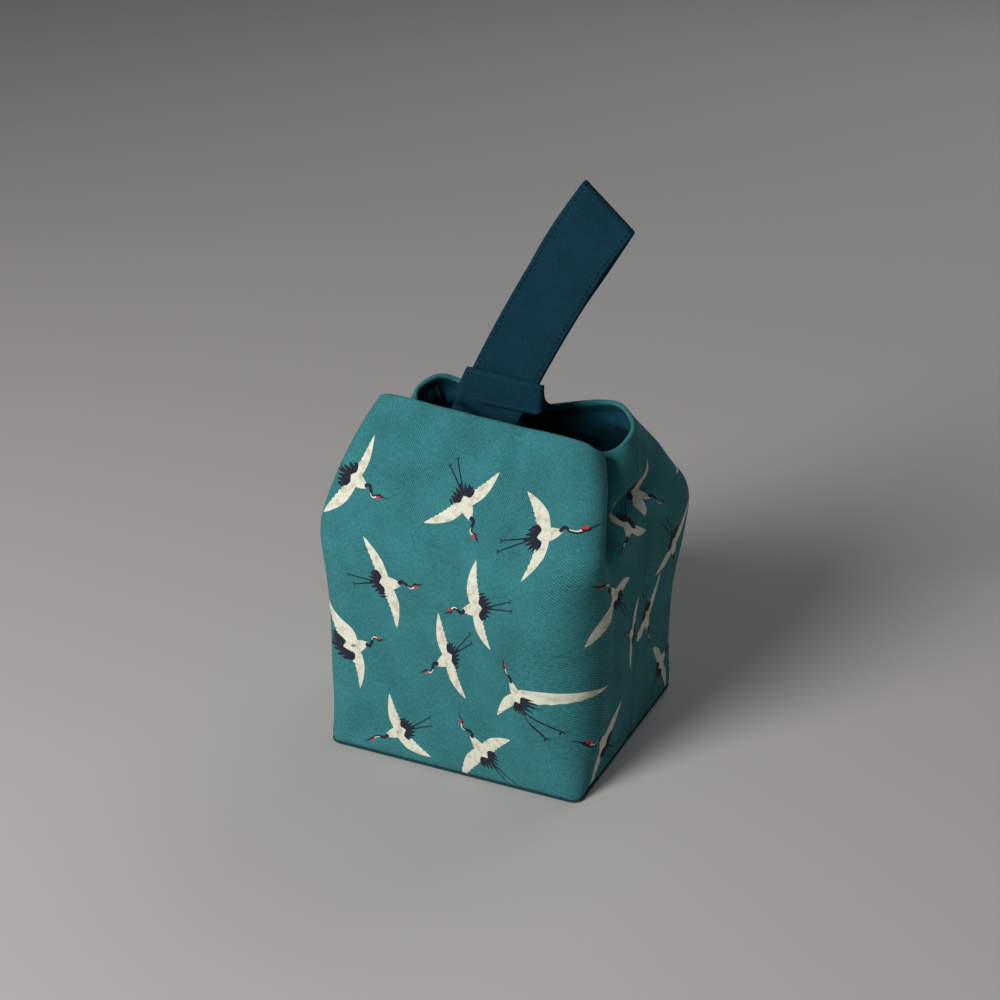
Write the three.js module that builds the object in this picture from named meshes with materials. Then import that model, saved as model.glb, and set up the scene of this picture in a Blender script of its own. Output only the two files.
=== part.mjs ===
import * as THREE from "three";

// Body of the pouch in mm: front faces -Y, the base rests on Z = 0
const BODY_WIDTH = 120;
const BODY_DEPTH = 112;
const BASE_CORNER_RADIUS = 6;
const SHOULDER_HEIGHT = 102;
const SHOULDER_FLARE_X = 3;
const SHOULDER_FLARE_Y = 2;
const SHOULDER_CORNER_RADIUS = 8;

// Cloth build-up of every wall, from outside to inside
const OUTER_CLOTH = 0.8;
const FLEECE = 1.2;
const LINING_CLOTH = 0.6;
const LAYER_GAP = 0.3;
const SEAM_GAP = 0.4;

// Base: plain cloth outside, stiffening board, lining on top
const BASE_CLOTH = 1;
const BASE_BOARD = 2;
const BASE_LINING = 0.6;

// Rim: how far it leans in from each face, and its heights
const FRONT_LEAN_IN = 38;
const FRONT_RIM_HEIGHT = 150;
const FRONT_CORNER_STEP = 3;
const BACK_LEAN_IN = 31;
const BACK_PULL_IN = 12;
const BACK_RIM_DROP = 3;
const RIM_EASE = 1;
const BACK_DIP = 3.5;
const LEFT_BACK_PULL = 6;
const MOUTH_HALF_WIDTH = 50.5;
const BACK_TUCK = 15;
const BACK_ROUND = 8;

// Front corner folds, the pleats behind them and the side lobes
const FOLD_RADIUS = 5.5;
const FOLD_DROP = 4;
const FOLD_BULGE = 4;
const FOLD_BULGE_REACH = 3;
const PLEAT_DEPTH = 20;
const PLEAT_DROP = 17;
const PLEAT_OFFSET = 6;
const PLEAT_SPREAD = 9;
const RIGHT_LOBE_REACH = 55.5;
const LEFT_LOBE_REACH = 46;
const LEFT_LOBE_RISE = 4.5;
const LOBE_ROUND = 7;
const RIGHT_LOBE_FRONT = 4;
const LEFT_LOBE_FRONT = 7;
const LOBE_MIDDLE_Y = 7;
const LOBE_FRONT_DROP = 10.5;
const LOBE_DROP = 6;
const RIGHT_LOBE_PULL = 4;
const LEFT_LOBE_PULL = 2;

// Strap: one strip doubled over into a loop, both ends sewn inside the front flap
const STRAP_WIDTH = 28;
const STRAP_THICKNESS = 1.6;
const STRAP_LENGTH = 108;
const STRAP_X = -5;
const STRAP_Y = -3;
const STRAP_FOOT_HEIGHT = 149;
const LEAN_AT_FOOT = 24.5;
const LEAN_AT_TOP = 33.5;
const LAYER_SPACING = 2.2;
const LOOP_BOW = 2.8;
const TOP_FOLD_RADIUS = 1.6;
const BOW_CLEARANCE = 10;

// Sewn strap ends, one on the other
const STRAP_END_LOW = 0.35;
const STRAP_END_HIGH = 0.8;
const STRAP_END_X = -3;
const LEG_EASE = 1.2;
const LEG_START_GAP = 1.4;
const LEG_ANKLE = 3.4;

// Keeper: a short loop of the back rim that goes round the front of both strap layers
const KEEPER_HEIGHT = 15;
const KEEPER_CLOTH = 1.1;
const KEEPER_SIDE_PLAY = 1.7;
const KEEPER_FACE_PLAY = 0.4;
const KEEPER_CORNER = 1.5;
const KEEPER_TILT = 6;
const KEEPER_TRAVEL = 40;
const KEEPER_LIFT = 1;
const RIGHT_TAIL_X = 11.5;
const LEFT_TAIL_X = -19.5;
const TAIL_WIDTH = 15;
const TAIL_RISE_LOW = 0.8;
const TAIL_RISE_HIGH = 0.96;
const TAIL_BEND = 8;
const TAIL_LANDING = 8;
const TAIL_EASE = 0.6;
const TAIL_STEPS = 20;

const STATION_COUNT = 12;
const LOOP_STATIONS = 2 * STATION_COUNT;
const SEAM_STATION = 8;
const FRONT_FOLD_STATION = 3;
const BACK_FOLD_STATION = 10;
const LEG_STEPS = 14;
const LOOP_STEPS = 26;

const lerp = THREE.MathUtils.lerp;
const radians = THREE.MathUtils.degToRad;
const wallThickness = OUTER_CLOTH + FLEECE + LINING_CLOTH + 2 * LAYER_GAP;
const fleeceDepth = OUTER_CLOTH + LAYER_GAP;
const liningDepth = fleeceDepth + FLEECE + LAYER_GAP;
const wallFoot = BASE_CLOTH + LAYER_GAP;

const shoulderWidth = BODY_WIDTH + 2 * SHOULDER_FLARE_X;
const shoulderDepth = BODY_DEPTH + 2 * SHOULDER_FLARE_Y;
const frontRimY = FRONT_LEAN_IN - shoulderDepth / 2;
const backRimY = shoulderDepth / 2 - BACK_LEAN_IN;
const backCentreY = backRimY - BACK_PULL_IN;
const backRimHeight = FRONT_RIM_HEIGHT - BACK_RIM_DROP;
const returnY = frontRimY + 2 * FOLD_RADIUS;
const frontStraight = MOUTH_HALF_WIDTH - FOLD_RADIUS;
const backStraight = RIGHT_LOBE_REACH - BACK_TUCK - BACK_ROUND;

// Right half of a rounded outline, by the distance run from the front centre
function outlinePoint(shape, along) {
  const { width, depth, radius, front, corner, side } = shape;
  if (along <= front) {
    return new THREE.Vector3(along, -depth / 2, shape.height);
  }
  if (along <= front + corner) {
    const turn = (along - front) / radius;
    const x = front + radius * Math.sin(turn);
    return new THREE.Vector3(x, radius * (1 - Math.cos(turn)) - depth / 2, shape.height);
  }
  if (along <= front + corner + side) {
    const y = radius + along - front - corner - depth / 2;
    return new THREE.Vector3(width / 2, y, shape.height);
  }
  const mirrored = outlinePoint(shape, shape.total - along);
  mirrored.y *= -1;
  return mirrored;
}

// Stations number the same cloth threads on the base, the shoulder and the rim
function outline(width, depth, radius, height) {
  const front = width / 2 - radius;
  const corner = (Math.PI / 2) * radius;
  const side = depth - 2 * radius;
  const total = 2 * front + 2 * corner + side;
  const pleat = front + corner + PLEAT_OFFSET;
  const stations = [
    0,
    front,
    front + 0.25 * corner,
    front + 0.5 * corner,
    front + 0.75 * corner,
    front + corner,
    pleat,
    pleat + PLEAT_SPREAD,
    front + corner + side / 2,
    front + corner + side,
    front + 1.5 * corner + side,
    total - front,
    total,
  ];
  return { width, depth, radius, height, front, corner, side, total, stations };
}

const baseOutline = outline(BODY_WIDTH, BODY_DEPTH, BASE_CORNER_RADIUS, wallFoot);
const shoulderOutline = outline(
  shoulderWidth,
  shoulderDepth,
  SHOULDER_CORNER_RADIUS,
  SHOULDER_HEIGHT,
);

// Rim of one half, front centre to back centre; side is 1 on the right and -1 on the left
function rimHalf(side, lobe) {
  const cornerZ = FRONT_RIM_HEIGHT - side * FRONT_CORNER_STEP;
  const lobeEdge = lobe.reach - LOBE_ROUND;
  const lobeFrontY = (returnY + LOBE_MIDDLE_Y) / 2 - lobe.pull;
  const backHalf = lobe.reach - BACK_TUCK;
  const backY = backRimY - lobe.backPull;
  const lobeBackY = (LOBE_MIDDLE_Y + 2 * backY) / 3;
  const points = [[0, frontRimY, FRONT_RIM_HEIGHT]];
  for (let i = 0; i <= 4; i += 1) {
    const turn = (Math.PI * i) / 4;
    const x = frontStraight + FOLD_RADIUS * Math.sin(turn);
    const y = frontRimY + FOLD_RADIUS * (1 - Math.cos(turn));
    points.push([x, y, cornerZ - (FOLD_DROP * i) / 2]);
  }
  points.push(
    [MOUTH_HALF_WIDTH - PLEAT_DEPTH, returnY + RIM_EASE, FRONT_RIM_HEIGHT - PLEAT_DROP],
    [lobe.reach - lobe.front, lobeFrontY, FRONT_RIM_HEIGHT - LOBE_FRONT_DROP],
    [lobe.reach, LOBE_MIDDLE_Y, FRONT_RIM_HEIGHT - LOBE_DROP + 0.3 * lobe.rise],
    [lobeEdge, lobeBackY, backRimHeight - RIM_EASE + lobe.rise],
    [backHalf, backY, backRimHeight + 0.2 * lobe.rise],
    [backHalf - BACK_ROUND, backY - RIM_EASE, backRimHeight - 0.5 * lobe.rise],
    [0, backCentreY, backRimHeight - BACK_DIP],
  );
  return points.map(([x, y, z]) => new THREE.Vector3(side * x, y, z));
}

const rightLobe = {
  reach: RIGHT_LOBE_REACH,
  front: RIGHT_LOBE_FRONT,
  pull: RIGHT_LOBE_PULL,
  backPull: 0,
  rise: 0,
};
const leftLobe = {
  reach: LEFT_LOBE_REACH,
  front: LEFT_LOBE_FRONT,
  pull: LEFT_LOBE_PULL,
  backPull: LEFT_BACK_PULL,
  rise: LEFT_LOBE_RISE,
};
const leftRim = rimHalf(-1, leftLobe).slice(1, STATION_COUNT).reverse();
const rimPoints = [...rimHalf(1, rightLobe), ...leftRim];
const rimCurve = new THREE.CatmullRomCurve3(rimPoints, true, "centripetal");

function wrapStation(station) {
  return THREE.MathUtils.euclideanModulo(station, LOOP_STATIONS);
}

function outlineAt(shape, station) {
  const wrapped = wrapStation(station);
  const mirrored = wrapped > STATION_COUNT;
  const place = mirrored ? LOOP_STATIONS - wrapped : wrapped;
  const index = Math.min(Math.floor(place), STATION_COUNT - 1);
  const along = lerp(shape.stations[index], shape.stations[index + 1], place - index);
  const point = outlinePoint(shape, along);
  point.x *= mirrored ? -1 : 1;
  return point;
}

function rimAt(station) {
  return rimCurve.getPoint(wrapStation(station) / LOOP_STATIONS);
}

// The front corner folds stand out in a soft curve between the shoulder and the rim
function foldBulge(station, rise) {
  const wrapped = wrapStation(station);
  const side = wrapped > STATION_COUNT ? -1 : 1;
  const place = side > 0 ? wrapped : LOOP_STATIONS - wrapped;
  const away = Math.abs(place - FRONT_FOLD_STATION);
  const near = Math.max(0, 1 - (away / FOLD_BULGE_REACH) ** 2);
  return side * FOLD_BULGE * near * 4 * rise * (1 - rise);
}

// Outer face of the pouch: rise runs -1 at the base, 0 at the shoulder, 1 at the rim
function faceAt(station, rise) {
  const shoulder = outlineAt(shoulderOutline, station);
  if (rise <= 0) {
    return shoulder.lerp(outlineAt(baseOutline, station), -rise);
  }
  const point = shoulder.lerp(rimAt(station), rise);
  point.x += foldBulge(station, rise);
  return point;
}

const PROBE = 0.02;

function alongFace(station, rise) {
  return faceAt(station + PROBE, rise).sub(faceAt(station - PROBE, rise));
}

function upperInward(station, rise) {
  const middle = THREE.MathUtils.clamp(rise, PROBE, 1 - PROBE);
  const up = faceAt(station, middle + PROBE).sub(faceAt(station, middle - PROBE));
  return up.cross(alongFace(station, Math.max(rise, PROBE))).normalize();
}

function lowerInward(station) {
  const up = outlineAt(shoulderOutline, station).sub(outlineAt(baseOutline, station));
  return up.cross(alongFace(station, -1)).normalize();
}

function inwardAt(station, row) {
  if (row.crease) {
    return lowerInward(station).add(upperInward(station, 0)).normalize();
  }
  return row.rise > 0 ? upperInward(station, row.rise) : lowerInward(station);
}

// Closed solid from a grid of pairs of points: one side and the other side of a sheet
function solidFromGrid(outside, inside) {
  const rows = outside.length;
  const columns = outside[0].length;
  const points = [...outside.flat(), ...inside.flat()];
  const half = rows * columns;
  const index = [];
  const quad = (a, b, c, d) => index.push(a, b, c, a, c, d);
  for (let r = 0; r + 1 < rows; r += 1) {
    for (let c = 0; c + 1 < columns; c += 1) {
      const a = r * columns + c;
      const d = a + columns;
      quad(a, a + 1, d + 1, d);
      quad(half + a, half + d, half + d + 1, half + a + 1);
    }
  }
  for (let c = 0; c + 1 < columns; c += 1) {
    const top = (rows - 1) * columns + c;
    quad(c, half + c, half + c + 1, c + 1);
    quad(top, top + 1, half + top + 1, half + top);
  }
  for (let r = 0; r + 1 < rows; r += 1) {
    const left = r * columns;
    const right = left + columns - 1;
    quad(left, left + columns, half + left + columns, half + left);
    quad(right, half + right, half + right + columns, right + columns);
  }
  let volume = 0;
  for (let i = 0; i < index.length; i += 3) {
    const a = points[index[i]];
    volume += a.dot(points[index[i + 1]].clone().cross(points[index[i + 2]]));
  }
  if (volume < 0) {
    index.reverse();
  }
  const geometry = new THREE.BufferGeometry().setFromPoints(points);
  geometry.setIndex(index);
  geometry.computeVertexNormals();
  return geometry;
}

// A sheet of the wall between two stations, lying between two depths below the outer face
function wallSheet(from, to, columns, rows, depth, thickness) {
  const outside = [];
  const inside = [];
  for (const row of rows) {
    const shift = (station) => {
      const speed = alongFace(station, row.rise).length() / (2 * PROBE);
      return SEAM_GAP / 2 / speed;
    };
    const start = from + shift(from);
    const end = to - shift(to);
    const outer = [];
    const inner = [];
    for (let c = 0; c <= columns; c += 1) {
      const point = faceAt(lerp(start, end, c / columns), row.rise);
      const inward = inwardAt(lerp(from, to, c / columns), row);
      outer.push(point.clone().addScaledVector(inward, depth));
      inner.push(point.clone().addScaledVector(inward, depth + thickness));
    }
    outside.push(outer);
    inside.push(inner);
  }
  return solidFromGrid(outside, inside);
}

const wallHeight = SHOULDER_HEIGHT - wallFoot;
const frontSlope = Math.hypot(FRONT_LEAN_IN, FRONT_RIM_HEIGHT - SHOULDER_HEIGHT);
const creaseRise = SEAM_GAP / 2 / frontSlope;
const lowerRows = [
  { rise: -1, crease: false },
  { rise: -0.5, crease: false },
  { rise: -SEAM_GAP / 2 / wallHeight, crease: true },
];

function upperRows(count) {
  const rows = [{ rise: creaseRise, crease: true }];
  for (let i = 1; i <= count; i += 1) {
    rows.push({ rise: i / count, crease: false });
  }
  return rows;
}

const flapRows = upperRows(6);

const part = new THREE.Group();
part.name = "cloth_pouch";

const COLOURS = {
  printed: ["#3c8080", 0.85],
  plain: ["#163f50", 0.9],
  fleece: ["#d8d4c8", 0.95],
  board: ["#e6e6e0", 0.6],
};

function addNode(name, geometry, finish) {
  const [color, roughness] = COLOURS[finish];
  const material = new THREE.MeshStandardMaterial({ color, roughness, metalness: 0 });
  const mesh = new THREE.Mesh(geometry, material);
  mesh.name = name;
  part.add(mesh);
}

const layers = [
  ["outer", 0, OUTER_CLOTH, "printed"],
  ["fleece", fleeceDepth, FLEECE, "fleece"],
  ["lining", liningDepth, LINING_CLOTH, "plain"],
];

const panels = [
  ["front_wall", -SEAM_STATION, SEAM_STATION, 32, lowerRows],
  ["back_wall", SEAM_STATION, LOOP_STATIONS - SEAM_STATION, 16, lowerRows],
  ["front_flap", -FRONT_FOLD_STATION, FRONT_FOLD_STATION, 12, flapRows],
  ["back_flap", BACK_FOLD_STATION, LOOP_STATIONS - BACK_FOLD_STATION, 16, flapRows],
  ["right_gusset_front", FRONT_FOLD_STATION, SEAM_STATION, 15, flapRows],
  ["right_gusset_back", SEAM_STATION, BACK_FOLD_STATION, 8, flapRows],
  ["left_gusset_front", -SEAM_STATION, -FRONT_FOLD_STATION, 15, flapRows],
  ["left_gusset_back", -BACK_FOLD_STATION, -SEAM_STATION, 8, flapRows],
];

for (const [panel, from, to, columns, rows] of panels) {
  for (const [layer, depth, thickness, finish] of layers) {
    addNode(`${panel}_${layer}`, wallSheet(from, to, columns, rows, depth, thickness), finish);
  }
}

// Base plates are rounded rectangles set in from the outer face of the walls
function basePlate(inset, foot, thickness) {
  const x = BODY_WIDTH / 2 - inset;
  const y = BODY_DEPTH / 2 - inset;
  const radius = BASE_CORNER_RADIUS - inset;
  const outline = new THREE.Shape();
  outline.moveTo(x - radius, -y);
  outline.absarc(x - radius, radius - y, radius, -Math.PI / 2, 0);
  outline.absarc(x - radius, y - radius, radius, 0, Math.PI / 2);
  outline.absarc(radius - x, y - radius, radius, Math.PI / 2, Math.PI);
  outline.absarc(radius - x, radius - y, radius, Math.PI, 1.5 * Math.PI);
  const options = { depth: thickness, bevelEnabled: false, curveSegments: 6 };
  return new THREE.ExtrudeGeometry(outline, options).translate(0, 0, foot);
}

const boardInset = wallThickness + LAYER_GAP;
const boardFoot = BASE_CLOTH + LAYER_GAP;
addNode("base_panel", basePlate(0, 0, BASE_CLOTH), "plain");
addNode("base_board", basePlate(boardInset, boardFoot, BASE_BOARD), "board");
const baseLiningFoot = boardFoot + BASE_BOARD + LAYER_GAP;
addNode("base_lining", basePlate(boardInset, baseLiningFoot, BASE_LINING), "plain");

// Sewn ends lie flat on the linings of the two flaps
const sewnDepth = wallThickness + 1.5 * LAYER_GAP;
const secondDepth = sewnDepth + LAYER_SPACING;

function frontStation(x, rise) {
  return x / lerp(shoulderOutline.front, frontStraight, rise);
}

function backStation(x, rise) {
  return STATION_COUNT - x / lerp(shoulderOutline.front, backStraight, rise);
}

function sewnPatch(stationOf, fromX, toX, fromRise, toRise, depth, thickness) {
  const outside = [];
  const inside = [];
  for (let r = 0; r <= 6; r += 1) {
    const rise = lerp(fromRise, toRise, r / 6);
    const outer = [];
    const inner = [];
    for (let c = 0; c <= 8; c += 1) {
      const station = stationOf(lerp(fromX, toX, c / 8), rise);
      const inward = upperInward(station, rise);
      const point = faceAt(station, rise);
      outer.push(point.clone().addScaledVector(inward, depth));
      inner.push(point.clone().addScaledVector(inward, depth + thickness));
    }
    outside.push(outer);
    inside.push(inner);
  }
  return solidFromGrid(outside, inside);
}

function strapEnd(depth) {
  const fromX = STRAP_END_X - STRAP_WIDTH / 2;
  const toX = STRAP_END_X + STRAP_WIDTH / 2;
  return sewnPatch(
    frontStation,
    fromX,
    toX,
    STRAP_END_LOW,
    STRAP_END_HIGH,
    depth,
    STRAP_THICKNESS,
  );
}

addNode("front_strap_end", strapEnd(sewnDepth), "plain");
addNode("rear_strap_end", strapEnd(secondDepth), "plain");

// A flat strip along a path: each stop has a centre, a width vector and a face vector
function strip(stops, width, thickness) {
  const outside = [];
  const inside = [];
  for (const { centre, across, face } of stops) {
    const outer = [];
    const inner = [];
    for (const side of [-0.5, 0.5]) {
      const edge = centre.clone().addScaledVector(across, side * width);
      outer.push(edge.clone().addScaledVector(face, -thickness / 2));
      inner.push(edge.clone().addScaledVector(face, thickness / 2));
    }
    outside.push(outer);
    inside.push(inner);
  }
  return solidFromGrid(outside, inside);
}

// Strap legs: from the sewn ends, over the inside of the front rim, up to the foot of the loop
function strapLeg(offset) {
  const middle = sewnDepth + STRAP_THICKNESS / 2;
  const place = (rise, below) => {
    const station = frontStation(STRAP_END_X, rise);
    return faceAt(station, rise).addScaledVector(upperInward(station, rise), below);
  };
  const low = place(STRAP_END_HIGH, middle);
  const rim = place(0.96, middle + LEG_EASE);
  const step = rim.clone().sub(low).normalize();
  const lean = radians(LEAN_AT_FOOT);
  const upStrap = new THREE.Vector3(Math.sin(lean), 0, Math.cos(lean));
  const foot = new THREE.Vector3(STRAP_X, STRAP_Y - LAYER_SPACING / 2, STRAP_FOOT_HEIGHT);
  foot.addScaledVector(upStrap, -SEAM_GAP);
  const ankle = foot.clone().addScaledVector(upStrap, -LEG_ANKLE);
  const bend = rim.clone().lerp(ankle, 0.7);
  const start = low.clone().addScaledVector(step, LEG_START_GAP);
  const path = new THREE.CatmullRomCurve3(
    [start, rim, bend, ankle, foot],
    false,
    "centripetal",
  );
  const stops = [];
  for (let i = 0; i <= LEG_STEPS; i += 1) {
    const share = i / LEG_STEPS;
    const tilt = lean * THREE.MathUtils.smoothstep(share, 0.25, 0.8);
    const across = new THREE.Vector3(Math.cos(tilt), 0, -Math.sin(tilt));
    const run = i < LEG_STEPS ? path.getTangent(share) : upStrap.clone();
    const face = run.cross(across).normalize();
    const centre = path.getPoint(share).addScaledVector(face, offset);
    stops.push({ centre, across, face });
  }
  return strip(stops, STRAP_WIDTH, STRAP_THICKNESS);
}

addNode("front_strap_leg", strapLeg(0), "plain");
addNode("rear_strap_leg", strapLeg(LAYER_SPACING), "plain");

// Middle line of the loop: it leans further over towards the top
function strapAxis(length) {
  const turn = radians(LEAN_AT_TOP - LEAN_AT_FOOT) / STRAP_LENGTH;
  const lean = radians(LEAN_AT_FOOT) + turn * length;
  const start = radians(LEAN_AT_FOOT);
  const x = STRAP_X + (Math.cos(start) - Math.cos(lean)) / turn;
  const z = STRAP_FOOT_HEIGHT + (Math.sin(lean) - Math.sin(start)) / turn;
  return { centre: new THREE.Vector3(x, STRAP_Y, z), lean };
}

const straightLength = STRAP_LENGTH - TOP_FOLD_RADIUS - STRAP_THICKNESS / 2;

// The loop stands open above the highest place of the keeper
function loopSpread(length) {
  const start = KEEPER_TRAVEL + KEEPER_HEIGHT + BOW_CLEARANCE;
  const share = THREE.MathUtils.clamp((length - start) / (straightLength - start), 0, 1);
  const base = lerp(LAYER_SPACING / 2, TOP_FOLD_RADIUS, share);
  return base + LOOP_BOW * Math.sin(Math.PI * share);
}

function wristStrap() {
  const trace = [];
  for (let i = 0; i <= LOOP_STEPS; i += 1) {
    const length = (straightLength * i) / LOOP_STEPS;
    trace.push([length, -loopSpread(length)]);
  }
  for (let i = 1; i < 6; i += 1) {
    const turn = (Math.PI * i) / 6;
    const rise = TOP_FOLD_RADIUS * Math.sin(turn);
    trace.push([straightLength + rise, -TOP_FOLD_RADIUS * Math.cos(turn)]);
  }
  for (let i = LOOP_STEPS; i >= 0; i -= 1) {
    const length = (straightLength * i) / LOOP_STEPS;
    trace.push([length, loopSpread(length)]);
  }
  const stops = trace.map(([length, offset], i) => {
    const before = trace[Math.max(i - 1, 0)];
    const after = trace[Math.min(i + 1, trace.length - 1)];
    const run = new THREE.Vector2(after[0] - before[0], after[1] - before[1]).normalize();
    const { centre, lean } = strapAxis(length);
    const along = new THREE.Vector3(Math.sin(lean), 0, Math.cos(lean));
    const across = new THREE.Vector3(Math.cos(lean), 0, -Math.sin(lean));
    const face = along.multiplyScalar(-run.y).add(new THREE.Vector3(0, run.x, 0));
    centre.y += offset;
    return { centre, across, face };
  });
  return strip(stops, STRAP_WIDTH, STRAP_THICKNESS);
}

addNode("wrist_strap", wristStrap(), "plain");

// Keeper: the band crosses the front of the strap, pushed askew by its lean
const keeperSkew = radians(LEAN_AT_FOOT - KEEPER_TILT);
const keeperSlotX = STRAP_WIDTH / 2 / Math.cos(keeperSkew) + KEEPER_SIDE_PLAY;
const keeperSlotY = LAYER_SPACING / 2 + STRAP_THICKNESS / 2 + KEEPER_FACE_PLAY;
const keeperMiddle = strapAxis(KEEPER_HEIGHT / 2 + KEEPER_LIFT).centre;

function keeperBand() {
  const x = keeperSlotX - KEEPER_CORNER;
  const y = KEEPER_CORNER - keeperSlotY;
  const outer = KEEPER_CORNER + KEEPER_CLOTH;
  const band = new THREE.Shape();
  band.moveTo(x + outer, keeperSlotY);
  band.absarc(x, y, outer, 0, -Math.PI / 2, true);
  band.absarc(-x, y, outer, -Math.PI / 2, -Math.PI, true);
  band.lineTo(-x - outer, keeperSlotY);
  band.lineTo(-x - KEEPER_CORNER, keeperSlotY);
  band.absarc(-x, y, KEEPER_CORNER, Math.PI, 1.5 * Math.PI);
  band.absarc(x, y, KEEPER_CORNER, 1.5 * Math.PI, 2 * Math.PI);
  band.lineTo(x + KEEPER_CORNER, keeperSlotY);
  const options = { depth: KEEPER_HEIGHT, bevelEnabled: false, curveSegments: 5 };
  const loop = new THREE.ExtrudeGeometry(band, options);
  const shear = new THREE.Matrix4().makeShear(0, 0, 0, 0, Math.tan(keeperSkew), 0);
  loop.translate(0, 0, -KEEPER_HEIGHT / 2);
  loop.applyMatrix4(shear);
  loop.rotateY(radians(KEEPER_TILT));
  return loop.translate(keeperMiddle.x, keeperMiddle.y, keeperMiddle.z);
}

addNode("keeper_band", keeperBand(), "plain");

// Tails of the keeper: from its open sides back to the lining of the back flap
const upAxis = new THREE.Vector3(0, 1, 0);
const keeperUp = new THREE.Vector3(Math.tan(keeperSkew), 0, 1)
  .applyAxisAngle(upAxis, radians(KEEPER_TILT));

function keeperTail(side, endX) {
  const reach = side * (keeperSlotX + KEEPER_CLOTH / 2);
  const begin = new THREE.Vector3(reach, keeperSlotY + SEAM_GAP, 0)
    .applyAxisAngle(upAxis, radians(KEEPER_TILT))
    .add(keeperMiddle);
  const middle = sewnDepth + KEEPER_CLOTH / 2 + TAIL_EASE;
  const onLining = (x, height) => {
    const station = backStation(x, height);
    return faceAt(station, height).addScaledVector(upperInward(station, height), middle);
  };
  const inner = onLining(endX - side * TAIL_WIDTH / 2, TAIL_RISE_HIGH);
  const outer = onLining(endX + side * TAIL_WIDTH / 2, TAIL_RISE_HIGH);
  const down = onLining(endX, TAIL_RISE_LOW).sub(onLining(endX, TAIL_RISE_HIGH)).normalize();
  const finish = inner.clone().lerp(outer, 0.5).addScaledVector(down, -SEAM_GAP);
  const alongRim = outer.clone().sub(inner);
  const path = new THREE.CubicBezierCurve3(
    begin,
    begin.clone().add(new THREE.Vector3(0, TAIL_BEND, 0)),
    finish.clone().addScaledVector(down, -TAIL_LANDING),
    finish,
  );
  const startTurn = Math.atan2(keeperUp.z, keeperUp.x);
  const endTurn = side > 0 ? 0 : Math.PI;
  const startWidth = keeperUp.length() * KEEPER_HEIGHT;
  const stops = [];
  for (let i = 0; i <= TAIL_STEPS; i += 1) {
    const share = i / TAIL_STEPS;
    const ease = THREE.MathUtils.smoothstep(share, 0, 1);
    const turn = lerp(startTurn, endTurn, ease);
    const across = new THREE.Vector3(Math.cos(turn), 0, Math.sin(turn));
    across.multiplyScalar(lerp(startWidth, TAIL_WIDTH, ease));
    across.lerp(alongRim, THREE.MathUtils.smoothstep(share, 0.5, 1));
    const face = path.getTangent(share).cross(across).normalize();
    stops.push({ centre: path.getPoint(share), across, face });
  }
  return strip(stops, 1, KEEPER_CLOTH);
}

function keeperEnd(endX) {
  return sewnPatch(
    backStation,
    endX - TAIL_WIDTH / 2,
    endX + TAIL_WIDTH / 2,
    TAIL_RISE_LOW,
    TAIL_RISE_HIGH,
    sewnDepth,
    KEEPER_CLOTH,
  );
}

addNode("keeper_right_tail", keeperTail(1, RIGHT_TAIL_X), "plain");
addNode("keeper_left_tail", keeperTail(-1, LEFT_TAIL_X), "plain");
addNode("keeper_right_end", keeperEnd(RIGHT_TAIL_X), "plain");
addNode("keeper_left_end", keeperEnd(LEFT_TAIL_X), "plain");

export default part;
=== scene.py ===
import math
import random

import bpy
import numpy as np
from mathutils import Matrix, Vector, geometry, kdtree, noise


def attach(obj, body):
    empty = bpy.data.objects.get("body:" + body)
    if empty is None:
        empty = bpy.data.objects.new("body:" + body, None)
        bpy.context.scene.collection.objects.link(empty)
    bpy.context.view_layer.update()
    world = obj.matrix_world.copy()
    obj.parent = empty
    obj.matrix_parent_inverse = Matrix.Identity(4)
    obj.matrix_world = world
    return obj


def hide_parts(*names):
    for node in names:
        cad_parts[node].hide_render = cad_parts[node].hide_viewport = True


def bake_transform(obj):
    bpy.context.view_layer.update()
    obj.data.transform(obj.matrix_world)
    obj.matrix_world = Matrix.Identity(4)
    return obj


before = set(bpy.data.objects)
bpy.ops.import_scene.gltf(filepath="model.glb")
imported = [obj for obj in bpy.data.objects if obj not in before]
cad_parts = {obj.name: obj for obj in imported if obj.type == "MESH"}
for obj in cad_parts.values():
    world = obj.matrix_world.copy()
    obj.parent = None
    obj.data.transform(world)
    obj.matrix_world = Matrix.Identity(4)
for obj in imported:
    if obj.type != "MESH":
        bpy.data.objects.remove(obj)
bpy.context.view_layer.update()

MM = 0.001

# Body of the pouch in mm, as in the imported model
BODY_WIDTH = 120.0
BODY_DEPTH = 112.0
BASE_RADIUS = 6.0
SHOULDER_HEIGHT = 102.0
FLARE_X = 3.0
FLARE_Y = 2.0
SHOULDER_RADIUS = 9.0
WALL_FOOT = 1.3

# Softness of the standing corners in mm, by side (1 right, -1 left) and half (0 front, 1 back)
SOFT_SHOULDER = {(1, 0): 16.0, (1, 1): 9.0, (-1, 0): 10.0, (-1, 1): 9.0}
SOFT_CORNER = {(1, 0): 17.0, (1, 1): 11.0, (-1, 0): 11.0, (-1, 1): 11.0}
SOFT_POWER = 0.7
BELLY = 1.5

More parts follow.
